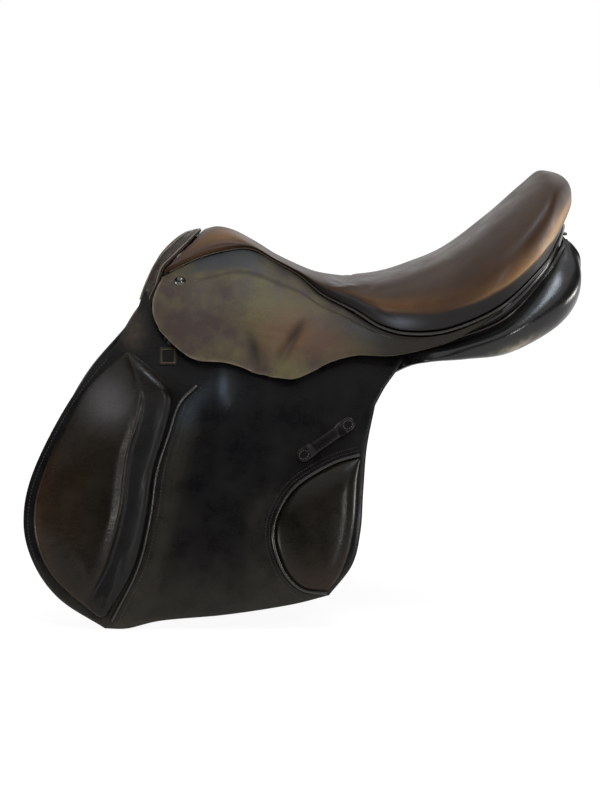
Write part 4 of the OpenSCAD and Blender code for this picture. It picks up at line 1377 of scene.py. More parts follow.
    def build_arch(self) -> None:
        """Makes the grained strip over the front of the head arch, with a cord line along each edge."""
        obj = raise_sheet("pommel_strip", 150, 30, self.arch_point, (-1, 0, 1))
        ridges = places(obj) / MM
        grain = 0.7 * waves(ridges, 6, 3.0) + 0.5 * waves(ridges, 15, 8.0)
        lay(obj, ridges + grain[:, None] * [-0.6, 0, 0.6])
        thicken(obj, self.arch_leather, 0.5)
        soften(obj)
        settle(obj, [ARCH_LEATHER, DARK_EDGE], "tree", ["pommel_cover"])
        s = np.linspace(0.03, 0.97, 140)
        lift = np.array([-0.6, 0, 0.6])
        for name, v in (("rear", 0.05), ("front", 0.56)):
            line = self.arch_point(s, np.full_like(s, v)) + lift
            cord = raise_tube(f"pommel_cord_{name}", line, 1.8, 2)
            settle(cord, [CORD_LEATHER], "tree")
        for name, v in (("rear", 0.15), ("front", 0.44)):
            path = evenly(self.arch_point(s, np.full_like(s, v)) + lift, FINE_STITCH.pitch)
            out = units(path * [0, 1, 1] + [-60, 0, -40])
            row = FINE_STITCH.sew(f"pommel_stitches_{name}", path, out)
            settle(row, [BROWN_THREAD], "tree")

    def strip_point(self, t: Array, drop: Array, depth: float = 0.0) -> Array:
        """Points of the strip behind the cantle, a drop below the seam's piping.

        Args:
            t: Places along the seam.
            drop: Drop below the piping.
            depth: Depth inside the strip's face.

        Returns:
            Points of the near side.
        """
        inward = depth + 3.5 * drop / self.strip_height + 4.0 * smooth_step(0.82, 0.76, t)
        fall = np.outer(self.lay_gap + drop, [0, 0, 1])
        return self.seam_at(t) - 2 * self.welt_drop(t) - fall - inward[:, None] * self.out_at(t)

    def build_strip(self) -> None:
        """Makes the strip behind the cantle with its two rows of stitches."""

        def band(u: Array, v: Array) -> Array:
            """Points of the strip from one side round the cantle to the other."""
            t = mix(self.strip_start, 1, 1 - np.abs(2 * u - 1))
            tall = self.strip_height * mix(0.3, 1, smooth_step(self.strip_start, 0.86, t))
            p = self.strip_point(t, v * tall, 0.0)
            p = p + 1.2 * bump(v, 1.0)[:, None] * self.out_at(t)
            return p * over_to_far(u)

        obj = raise_sheet("cantle_band", 160, 10, band, (1, 0, 0))
        thicken(obj, self.strip_leather, 0.5)
        soften(obj)
        settle(obj, [PANEL_LEATHER, DARK_EDGE], "tree", ["cantle_strip"])
        u = np.linspace(0.01, 0.99, 400)
        for name, v in (("upper", 0.2), ("lower", 0.8)):
            path = evenly(band(u, np.full_like(u, v)), FINE_STITCH.pitch)
            out = units(path * [1, 1, 0] - [120, 0, 0])
            row = FINE_STITCH.sew(f"cantle_stitches_{name}", path, out)
            settle(row, [DARK_THREAD], "tree")


# Panels


@dataclass
class Panel:
    """Stuffed panel under each side, with its piping and the sweat flap sewn to it."""

    welt: float = 4.0
    sweat_leather: float = 3.0
    sewn_gap: float = 0.5
    knee_room: float = 9.0
    strap_room: float = 23.0
    section_points: int = 7
    columns: int = 120
    rows: int = 56
    piping_start: float = 0.53
    sweat_top: tuple = ((-249, -2), (-165, -24), (-75, -33), (10, -30))
    sweat_front: tuple = ((-249, -2), (-296, -64), (-331, -130), (-330, -190), (-262, -255))
    sweat_rear: tuple = ((10, -30), (-2, -86), (-4, -150), (-40, -226))
    sweat_bottom: tuple = ((-262, -255), (-190, -250), (-110, -242), (-40, -226))
    stations: Array = field(init=False)

    def __post_init__(self) -> None:
        """Works out the sections, as x, half width and height, from front to rear."""

        def sewn(x: float, z: float) -> float:
            """Half width at which the panel meets the sweat flap."""
            room = FACE.half_at(z) - self.under_room(np.array(x))
            return float(room - self.sweat_leather - self.sewn_gap)

        self.stations = np.array([
            [(-204, 32, 88), (-211, 40, 79), (-223, 50, 62), (-241, 70, 26),
             (-262, 92, -20), (-246, 70, 6), (-212, 34, 70)],
            [(-188, 33, 82), (-194, 42, 72), (-208, 54, 50), (-240, 88, -20),
             (-264, sewn(-264, -82) - 0.6, -82), (-234, 66, -28), (-194, 33, 55)],
            [(-140, 34, 70), (-142, 46, 60), (-150, 58, 38), (-170, 86, -28),
             (-190, sewn(-190, -104) - 5.6, -104), (-166, 62, -40), (-140, 33, 42)],
            [(-75, 34, 55), (-76, 48, 48), (-78, 62, 33), (-84, 86, -24),
             (-96, sewn(-96, -88) - 2, -88), (-85, 58, -36), (-76, 33, 24)],
            [(-15, 34, 42), (-15, 54, 36), (-15, 68, 19), (-15, 84, -18),
             (-20, sewn(-20, -58), -58), (-15, 58, -26), (-15, 33, 10)],
            [(50, 34, 42), (50, 66, 32), (50, 84, 19), (50, 91, 2),
             (48, 92, -16), (50, 64, -8), (50, 33, 10)],
            [(80, 35, 50), (80, 80, 38), (80, 116, 18), (80, 134, 8),
             (80, 136, -1), (80, 90, 2), (80, 35, 18)],
            [(120, 37, 62), (120, 85, 48), (120, 126, 27), (120, 147, 16),
             (120, 140, 3), (120, 90, 8), (120, 37, 28)],
            [(162, 40, 82), (163, 84, 72), (166, 130, 48), (169, 150, 31),
             (166, 136, 9), (163, 88, 18), (162, 40, 44)],
            [(202, 42, 102), (203, 75, 99), (206, 105, 89), (223, 127, 62),
             (214, 117, 32), (204, 78, 40), (202, 42, 62)],
            [(223, 46, 112), (221, 60, 113), (225, 74, 114), (244, 96, 86),
             (239, 94, 56), (228, 66, 62), (224, 46, 78)],
            [(234, 50, 118), (232, 55, 121), (232, 60, 125), (246, 67, 106),
             (245, 68, 80), (238, 60, 78), (236, 52, 88)],
        ], float) * [1, -1, 1]

    def under_room(self, x: Array) -> Array:
        """Room under the flap's face, down to the sweat flap."""
        return mix(self.knee_room, self.strap_room, smooth_step(-215, -140, x))

    def at(self, u: Array, t: Array) -> Array:
        """Points of the panel at u along it and t round it.

        Args:
            u: Places from front to rear.
            t: Places round the section.

        Returns:
            One point a place.
        """
        n = self.section_points
        loop = np.stack([spline(self.stations[:, k], u) for k in range(n)], axis=1)
        s = np.mod(t, 1.0) * n
        i = np.floor(s).astype(int) % n
        rows = np.arange(len(u))
        p0, p1, p2, p3 = (loop[rows, (i + k) % n] for k in (-1, 0, 1, 2))
        return cubic(p0, p1, p2, p3, (s - np.floor(s))[:, None])

    def closed(self, u: Array, t: Array) -> Array:
        """Points of the panel with both ends rounded off, for u from 0 to 1.

        Args:
            u: Places from end to end.
            t: Places round the section.

        Returns:
            One point a place.
        """
        cap = 0.05
        inner = np.clip((u - cap) / (1 - 2 * cap), 0, 1)
        p = self.at(inner, t)
        turns = np.arange(self.section_points) / self.section_points
        over = np.where(u < cap, 1 - u / cap, np.where(u > 1 - cap, (u - 1 + cap) / cap, 0))
        ends = np.stack([self.at(np.full(self.section_points, e), turns).mean(0) for e in (0.0, 1.0)])
        middle = ends[(u > 0.5).astype(int)]
        shrink = np.sqrt(np.clip(1 - over**2, 0, 1))[:, None]
        away = over[:, None] * np.array([(-4.0, 0.0, 0.0), (4.0, 5.0, 6.0)])[(u > 0.5).astype(int)]
        return np.where((over > 0)[:, None], middle + (p - middle) * shrink + away, p)

    def build(self) -> None:
        """Makes both panels, their piping and both sweat flaps."""
        self.build_cushion()
        self.build_piping()
        self.build_sweat_flap()

    def build_cushion(self) -> None:
        """Blows the panel up between its seams."""
        obj = raise_sheet("panel", self.columns, self.rows, self.closed)
        u, t = grid_places(self.columns, self.rows)
        corner = t * self.section_points
        seam = bell(corner, 4.0, 0.10) * smooth_step(0.05, 0.12, u) * smooth_step(0.56, 0.5, u)
        shoulder = bell(corner, 2.0, 0.14) * smooth_step(0.5, 0.56, u)
        # painted golden highlight on the panel's underside, laid in the wear numbers
        belly = bell(u, 0.715, 0.035) * bell(corner, 3.75, 0.22)
        paint(obj, "wear_and_highlight", np.clip(belly, 0, 1))
        paint(obj, "crease", np.clip(0.6 * shoulder + 0.6 * seam, 0, 1))
        paint(obj, "sunk", np.clip(seam + shoulder, 0, 1))
        by_channel = (corner < 0.6) | (corner > 6.2)
        paint(obj, "held", 1.0 * (by_channel | (seam > 0.5) | (shoulder > 0.5) | (u < 0.06) | (u > 0.985)))
        mend_normals(obj, 0.05)
        sunk = painted(obj, "sunk")
        inflate(obj, painted(obj, "held") < 0.5, 3.0)
        normals = np.empty(len(sunk) * 3, np.float32)
        obj.data.vertex_normals.foreach_get("vector", normals)
        lay(obj, places(obj) / MM - 1.3 * sunk[:, None] * normals.reshape(-1, 3))
        subdivide(obj)
        soften(obj, 70)
        nodes = ["{side}_panel"]
        settle_pair(obj, "{side}_panel_cushion", [PANEL_LEATHER], "tree", nodes)

    def build_piping(self) -> None:
        """Runs the piping along the panel's upper outer edge behind the flap."""
        u = np.linspace(self.piping_start, 0.95, 90)
        line = self.at(u, np.full_like(u, 2 / self.section_points))
        near = raise_tube("panel_piping_cord", line, self.welt)
        settle_pair(near, "{side}_panel_cord", [WELT_LEATHER], "tree", ["panel_piping"])

    def sweat_point(self, u: Array, v: Array) -> Array:
        """Points of the sweat flap's outer face."""
        p = patch(self.sweat_top, self.sweat_bottom, self.sweat_front, self.sweat_rear, u, v)
        return FACE.place(p, self.under_room(p[:, 0]))

    def build_sweat_flap(self) -> None:
        """Makes the sweat flap with a sewn edge."""
        near = raise_sheet("sweat_flap", 90, 90, self.sweat_point)
        p = places(near) / MM
        lay(near, p + 0.5 * waves(p, 55, 5.0)[:, None] * FACE.normal(p[:, 2]))
        thicken(near, self.sweat_leather, 0.7)
        soften(near)
        finishes, nodes = [PANEL_LEATHER, DARK_EDGE], ["{side}_sweat_flap"]
        settle_pair(near, "{side}_sweat_leather", finishes, "tree", nodes)
        k = np.linspace(0.02, 0.98, 200)
        one = np.ones_like(k)
        edge = np.concatenate([self.sweat_point(0.025 * one, k), self.sweat_point(k, 0.975 * one)])
        path = evenly(edge, STITCH.pitch)
        row = STITCH.sew("sweat_stitches", path, FACE.normal(path[:, 2]))
        settle_pair(row, "{side}_sweat_stitches", [DARK_THREAD], "tree")


# Flaps


@dataclass
class Flap:
    """Forward-cut flap with its knee pad, thigh pad, keeper and seams."""

    leather: float = 4.0
    lay_gap: float = 0.4
    welt: float = 4.0
    knee_crown: float = 18.0
    knee_shelf: float = 7.0
    thigh_crown: float = 11.0
    pad_edge: float = 1.6
    # Line of the knee pad's ridge, from top to bottom
    ridge: tuple = (
        (-240, 9), (-230, -14), (-226, -40), (-230, -66), (-238, -92), (-242, -120),
        (-245, -150), (-252, -180), (-262, -210), (-276, -236), (-293, -262),
    )
    columns: int = 150
    rows: int = 160
    head_share: float = 0.2
    fold_front: tuple = (-252, 17)
    fold_rear: tuple = (25, -47)
    head_top: tuple = (
        (-221, 72), (-210, 44), (-190, 14), (-150, 2), (-105, -4), (-55, 8), (0, 22), (57, 5),
    )
    head_front: tuple = ((-221, 72), (-230, 51), (-243, 32), (-252, 17))
    head_rear: tuple = ((57, 5), (50, -9), (36, -28), (25, -47))
    front: tuple = (
        (-252, 17), (-299, -40), (-337, -113), (-347, -165), (-336, -208), (-308, -245), (-260, -275),
    )
    bottom: tuple = ((-260, -275), (-236, -275), (-200, -267), (-133, -261), (-66, -251), (-24.5, -241))
    rear: tuple = ((25, -47), (16, -90), (12, -135), (9, -175), (0, -210), (-24.5, -241))
    knee_front: tuple = (
        (-240, 11), (-280, -28), (-307, -73), (-325, -110), (-336, -150), (-333, -188),
        (-312, -226), (-262, -267),
    )
    knee_rear: tuple = (
        (-240, 11), (-209, -12), (-190, -36), (-198, -75), (-210, -115), (-216, -160),
        (-229, -212), (-260, -266),
    )
    knee_seam: tuple = (
        (-168, -26), (-187, -46), (-198, -78), (-210, -116), (-216, -160), (-229, -213), (-256, -267),
    )
    thigh_front: tuple = (
        (9, -100), (-20, -109), (-57, -131), (-76, -158), (-80, -184), (-70, -214), (-52, -232), (-26, -236),
    )
    thigh_rear: tuple = (
        (9, -100), (6, -120), (5, -140), (4, -160), (1, -180), (-4, -200), (-13, -220), (-26, -236),
    )
    keeper_low: tuple = (-57, -101)
    keeper_high: tuple = (2, -62)
    keeper_width: float = 14.0
    keeper_leather: float = 2.4
    keeper_gap: float = 5.0
    tab_middle: tuple = (-196, 4)
    tab_size: float = 18.0

    @property
    def welt_gap(self) -> float:
        """Distance of a piping's middle from the edge of its pad."""
        return self.welt / 2 + 0.8

    def plan(self, u: Array, v: Array) -> Array:
        """Places of the whole flap as x and height, from its head to its lower edge.

        Args:
            u: Places from front to rear.
            v: Places from top to bottom.

        Returns:
            One place a row.
        """
        share = self.head_share
        fold = (self.fold_front, self.fold_rear)
        head = patch(self.head_top, fold, self.head_front, self.head_rear, u, np.clip(v / share, 0, 1))
        lower = patch(fold, self.bottom, self.front, self.rear, u, np.clip((v - share) / (1 - share), 0, 1))
        return np.where((v < share)[:, None], head, lower)

    def behind_seam(self, p: Array) -> Array:
        """Distance behind the knee pad's seam."""
        return behind_line(p, self.knee_seam, 60)

    def relief(self, p: Array) -> Array:
        """Height of the leather's swells and creases above the plain face.

        Args:
            p: Places as x and height.

        Returns:
            One height a place.
        """
        x, z = p[:, 0], p[:, 1]
        seen = smooth_step(20, 4, z)
        ridge = 2.6 * bell(x, -137, 10) * smooth_step(-66, -34, z) * smooth_step(4, -12, z)
        across = 0.3 * np.sin(z * 1.5 + 0.12 * x) * bell(x, -135, 15) * bell(z, -38, 11)
        d = self.behind_seam(p)
        drawn = 0.8 * np.sin(d * 0.95 + 1.3 * np.sin(z / 17)) * np.exp(-np.maximum(d, 0) / 16)
        drawn = drawn * smooth_step(2, 7, d) * smooth_step(-215, -150, z) * smooth_step(-18, -40, z)
        dish = -1.5 * bell(x, -95, 70) * bell(z, -135, 60) + 1.0 * bell(x, -120, 60) * bell(z, -235, 30)
        at = np.stack([x, z, np.zeros_like(x)], axis=1)
        swell = 0.9 * waves(at, 62, 1.0) + 0.35 * waves(at, 23, 2.0)
        return seen * (ridge + across + drawn + dish + swell)

    def surface(self, u: Array, v: Array) -> Array:
        """Points of the flap's outer face."""
        p = self.plan(u, v)
        edge = np.minimum(np.minimum(u, 1 - u) * 330, (1 - v) * 290)
        return FACE.place(p, -self.relief(p) * smooth_step(0, 14, edge) + 0.8 * bell(edge, 0, 2.5))

    def build(self) -> None:
        """Makes both flaps and all that is sewn to them."""
        self.build_leather()
        self.build_knee_pad()
        self.build_thigh_pad()
        self.build_pipings()
        self.build_keeper()
        self.build_tab()
        self.build_seams()

    def build_leather(self) -> None:
        """Makes the flap and its head as one piece, which is not bent at its fold."""
        near = raise_sheet("flap", self.columns, self.rows, self.surface)
        p = places(near)[:, [0, 2]] / MM
        d = self.behind_seam(p)
        # glow numbers: lighter towards the bottom as a painted sheen, warmer beside the knee seam and round
        # the thigh pad, brownish at the top front
        low = smooth_step(-190, -250, p[:, 1])
        beside = bell(d, 20, 13) * smooth_step(-40, -80, p[:, 1])
        thigh = distance(p, spline(self.thigh_front, np.linspace(0, 1, 60)))
        around = bell(thigh, 20, 14) * smooth_step(-110, -150, p[:, 1])
        wing = bell(p[:, 0], -234, 12) * bell(p[:, 1], 30, 18)
        paint(near, "glow", np.clip(0.75 * low + 0.8 * beside + 0.5 * around + wing, 0, 1))
        paint(near, "crease", np.clip(np.exp(-np.abs(d - 14) / 16) * smooth_step(-210, -120, p[:, 1]), 0, 1))
        paint(near, "wear_and_highlight", np.clip(0.4 * smooth_step(-262, -268, p[:, 1]) + 0.9 * wing, 0, 1))
        # painted bluish highlights: a streak below the skirt's front and a sheen beside the top of the knee
        # seam
        sheen_streak = bell(p[:, 0], -137, 5) * bell(p[:, 1], -28, 14)
        corner = 0.55 * bell(d, 17, 10) * bell(p[:, 1], -52, 20)
        corner = corner + 0.16 * bell(p[:, 0], -140, 26) * bell(p[:, 1], -30, 18)
        paint(near, "cool_reflection", np.clip(sheen_streak + corner, 0, 1))
        thicken(near, self.leather, 0.9)
        soften(near)
        settle_pair(
            near, "{side}_flap_leather", [FLAP_LEATHER, DARK_EDGE], FLAP_FOLD,
            ["{side}_flap", "{side}_flap_head"],
        )

    def pad_plan(self, front: tuple, rear: tuple, u: Array, v: Array) -> Array:
        """Places of a pad as x and height, between its front and rear edge."""
        s = mix(0.012, 0.988, v)
        return mix(spline(front, s), spline(rear, s), u[:, None])

    def pad(self, front: tuple, rear: tuple, crown: Surface) -> tuple[Surface, Surface]:
        """Outer and lower surface of a pad between two edges.

        Args:
            front: Front edge as x and height.
            rear: Rear edge as x and height.
            crown: Height of the pad.

        Returns:
            The two surfaces.
        """

        def top(u: Array, v: Array) -> Array:
            """Crowned face of the pad."""
            return FACE.place(self.pad_plan(front, rear, u, v), -self.lay_gap - crown(u, v))

        def under(u: Array, v: Array) -> Array:
            """Flat face of the pad on the flap."""
            return FACE.place(self.pad_plan(front, rear, u, v), -self.lay_gap + 0.6)

        return top, under

    def behind_ridge(self, p: Array) -> Array:
        """Distance behind the knee pad's ridge."""
        return behind_line(p, self.ridge, 90)

    def knee_step(self, p: Array) -> Array:
        """How marked the step behind the knee pad's ridge is at a height."""
        return smooth_step(-15, -70, p[:, 1]) * smooth_step(-268, -228, p[:, 1])

    def knee_height(self, u: Array, v: Array) -> Array:
        """Crown of the knee pad: a roll that rises to its ridge and steps down to a shelf along the rear.

        Args:
            u: Places from front to rear.
            v: Places from top to bottom.

        Returns:
            One height a place.
        """
        p = self.pad_plan(self.knee_front, self.knee_rear, u, v)
        fore = distance(p, spline(self.knee_front, np.linspace(0, 1, 90)))
        aft = distance(p, spline(self.knee_rear, np.linspace(0, 1, 90)))
        behind = self.behind_ridge(p)
        rise = fore / np.maximum(fore + np.maximum(-behind, 0), 0.1)
        roll = self.knee_crown * (0.62 * roundover(fore, 30.0) + 0.38 * rise**1.6 * roundover(fore, 60.0))
        shelf = np.minimum(roll, self.knee_shelf + 1.2 * bell(aft, 15, 9))
        step = (0.35 * smooth_step(-12, 2, behind) + 0.65 * smooth_step(0, 6, behind)) * self.knee_step(p)
        lip = 1.2 * bell(fore, 2.2, 1.3) * bump(v, 0.3)
        return self.pad_edge + mix(roll, shelf, step) * roundover(aft, 9.0) + lip

    def build_knee_pad(self) -> None:
        """Blows the knee pad up between its seams."""
        top, under = self.pad(self.knee_front, self.knee_rear, self.knee_height)
        obj, u, v, upper = raise_cushion("knee_pad", 64, 120, top, under)
        p = self.pad_plan(self.knee_front, self.knee_rear, u, v)
        behind, stepped = self.behind_ridge(p), self.knee_step(p)
        edge = 0.4 * bell(u, 0.05, 0.09) * smooth_step(0.25, 0.5, v)
        edge = edge + 0.25 * bell(u, 0.3, 0.2) * bell(v, 0.6, 0.25)
        paint(obj, "glow", upper * np.clip(edge, 0, 1))
        # paler line along the ridge, partly a painted highlight
        paint(obj, "wear_and_highlight", upper * 0.25 * bell(behind, -1, 2) * stepped)
        # painted sheen on the upper roll
        paint(obj, "cool_reflection", upper * bell(p[:, 0], -258, 24) * bell(p[:, 1], -42, 24))
        paint(obj, "shade", upper * 0.8 * smooth_step(1, 5, behind) * stepped)
        paint(obj, "crease", upper * (0.4 + 0.5 * bell(behind, 9, 5)))
        inflate(obj, upper & (u > 0.03) & (u < 0.97) & (v > 0.02) & (v < 0.98), 0.8)
        subdivide(obj)
        soften(obj, 60)
        nodes = ["{side}_knee_pad"]
        settle_pair(obj, "{side}_knee_cushion", [PAD_LEATHER], "{side}_flap", nodes)

    def thigh_height(self, u: Array, v: Array) -> Array:
        """Crown of the thigh pad.

        Args:
            u: Places from front to rear.
            v: Places from top to bottom.

        Returns:
            One height a place.
        """
        plan = self.pad_plan(self.thigh_front, self.thigh_rear, u, v)
        fore = roundover(distance(plan, spline(self.thigh_front, np.linspace(0, 1, 80))), 30.0)
        aft = roundover(distance(plan, spline(self.thigh_rear, np.linspace(0, 1, 80))), 18.0)
        return self.pad_edge + self.thigh_crown * fore * aft

    def build_thigh_pad(self) -> None:
        """Blows the thigh pad up between its seams."""
        top, under = self.pad(self.thigh_front, self.thigh_rear, self.thigh_height)
        obj, u, v, upper = raise_cushion("thigh_pad", 48, 72, top, under)
        paint(obj, "glow", upper * 0.5 * smooth_step(0.6, 0.95, v))
        paint(obj, "crease", upper * 0.35)
        inflate(obj, upper & (u > 0.03) & (u < 0.97) & (v > 0.03) & (v < 0.97), 1.5)
        subdivide(obj)
        soften(obj, 60)
        nodes = ["{side}_thigh_pad"]
        settle_pair(obj, "{side}_thigh_cushion", [PAD_LEATHER], "{side}_flap", nodes)

    def thigh_line(self, away: float) -> Array:
        """Places along the thigh pad's front edge, a distance out from it.

        Args:
            away: Distance out from the edge.

        Returns:
            Places as x and height.
        """
        line = spline(self.thigh_front, np.linspace(0, 1, 160))
        run = units(np.gradient(line, axis=0))
        return line + away * np.stack([run[:, 1], -run[:, 0]], axis=1)

    def build_pipings(self) -> None:
        """Runs the piping behind the knee pad and round the thigh pad."""
        knee = spline(np.array(self.knee_seam, float) + [self.welt_gap, -0.4], np.linspace(0, 1, 110))
        lift = -self.welt / 2 - self.lay_gap
        for name, line in (("knee", knee), ("thigh", self.thigh_line(self.welt_gap))):
            near = raise_tube(f"{name}_cord", FACE.place(line, lift + 0.5), self.welt)
            settle_pair(
                near, f"{{side}}_{name}_cord", [WELT_LEATHER], "{side}_flap",
                [f"{{side}}_{name}_welt"],
            )

    def build_keeper(self) -> None:
        """Makes the keeper with its sewn, rounded ends and its raised middle."""
        low, high = np.array(self.keeper_low, float), np.array(self.keeper_high, float)
        run = (high - low) / np.linalg.norm(high - low)
        across = np.array([-run[1], run[0]])
        length = float(np.linalg.norm(high - low))

        def half(t: Array) -> Array:
            """Half width of the keeper along it."""
            waist = 1 - 0.2 * smooth_step(0.2, 0.32, t) * smooth_step(0.8, 0.68, t)
            tip = np.clip(np.minimum(t, 1 - t) * length / (self.keeper_width / 2), 0, 1)
            return self.keeper_width / 2 * waist * np.sqrt(np.clip(1 - (1 - tip) ** 2, 0.02, 1))

        def face(t: Array, s: Array, depth: float) -> Array:
            """Points of the keeper, a depth above its underside."""
            raised = self.keeper_gap * smooth_step(0.17, 0.31, t) * smooth_step(0.83, 0.69, t)
            plan = low + np.outer(t, high - low) + np.outer((2 * s - 1) * half(t), across)
            dome = 0.5 * (1 - (2 * s - 1) ** 2)
            return FACE.place(plan, -0.6 - self.lay_gap - raised - depth - dome)

        obj, u, v, upper = raise_cushion(
            "keeper", 60, 12, lambda t, s: face(t, s, self.keeper_leather), lambda t, s: face(t, s, 0.0)
        )
        paint(obj, "wear_and_highlight", upper * 0.4 * (bell(v, 0, 0.12) + bell(v, 1, 0.12)))
        round_edges(obj, 0.5, 50)
        soften(obj)
        nodes = ["{side}_keeper"]
        settle_pair(obj, "{side}_keeper_strap", [FLAP_LEATHER], "{side}_flap", nodes)
        turn = np.linspace(0, 2 * np.pi, 60)
        for name, t in (("low", 0.105), ("high", 0.895)):
            ring = low + t * (high - low) + np.outer(5.0 * np.cos(turn), run)
            ring = ring + np.outer(4.2 * np.sin(turn), across)
            depth = -0.6 - self.lay_gap - self.keeper_leather - 0.45
            path = evenly(FACE.place(ring, depth), FINE_STITCH.pitch)
            row = FINE_STITCH.sew(f"keeper_{name}", path[:-1], FACE.normal(path[:-1, 2]))
            title = f"{{side}}_keeper_stitches_{name}"
            settle_pair(row, title, [BROWN_THREAD], "{side}_flap")

    def build_tab(self) -> None:
        """Makes the small blank tab below the front of the skirt."""
        middle = np.array(self.tab_middle, float)

        def square(inset: float, lift: float) -> Surface:
            """Square of the tab, an inset in from its edges and a lift above the flap."""
            side = self.tab_size - 2 * inset

            def face(u: Array, v: Array) -> Array:
                """Points of the square."""
                plan = middle + side * np.stack([u - 0.5, v - 0.5], axis=1)
                return FACE.place(plan, -self.relief(plan) - self.lay_gap - lift)

            return face

        for name, finish, inset, lift in (
            ("tab", STRAP_LEATHER, 0.0, 1.2),
            ("frame", OLD_BRASS, 2.0, 1.6),
            ("plate", FLAP_LEATHER, 2.7, 1.9),
        ):
            obj, *_ = raise_cushion(f"blank_{name}", 18, 18, square(inset, lift), square(inset, lift - 1.2))
            round_edges(obj, 0.35, 50)
            soften(obj)
            settle_pair(obj, f"{{side}}_blank_{name}", [finish], FLAP_FOLD)

    def inside(self, p: Array, margin: float) -> Array:
        """Which places lie on the flap, a margin in from its rear and lower edges.

        Args:
            p: Places as x and height.
            margin: Least distance from those edges.

        Returns:
            One answer a place.
        """
        s = np.linspace(0, 1, 80)
        rear, bottom = spline(self.rear, s), spline(self.bottom, s)
        clear = np.minimum(distance(p, rear), distance(p, bottom)) > margin
        before = p[:, 0] < np.interp(p[:, 1], rear[::-1, 1], rear[::-1, 0])
        return clear & before & (p[:, 1] > np.interp(p[:, 0], bottom[:, 0], bottom[:, 1]))

    def build_seams(self) -> None:
        """Sews the rows of stitches on the flap."""
        t = np.linspace(0.0, 1.0, 300)
        knee = spline(self.knee_seam, t)
        rows = {
            "knee": (knee[8:] + [10.5, 0], STITCH),
            "thigh_inner": (self.thigh_line(7.2), FINE_STITCH),
            "thigh_outer": (self.thigh_line(11.0), FINE_STITCH),
            "front": (self.plan(np.full_like(t, 0.016), mix(0.24, 0.97, t)), STITCH),
        }
        for name, (line, stitch) in rows.items():
            path = evenly(line, stitch.pitch)
            path = path[self.inside(path, 5.0)]
            on_face = FACE.place(path, -self.relief(path) + 0.1)
            row = stitch.sew(f"flap_{name}", on_face, FACE.normal(path[:, 1]))
            title = f"{{side}}_flap_stitches_{name}"
            settle_pair(row, title, [DARK_THREAD], "{side}_flap")


# Skirts


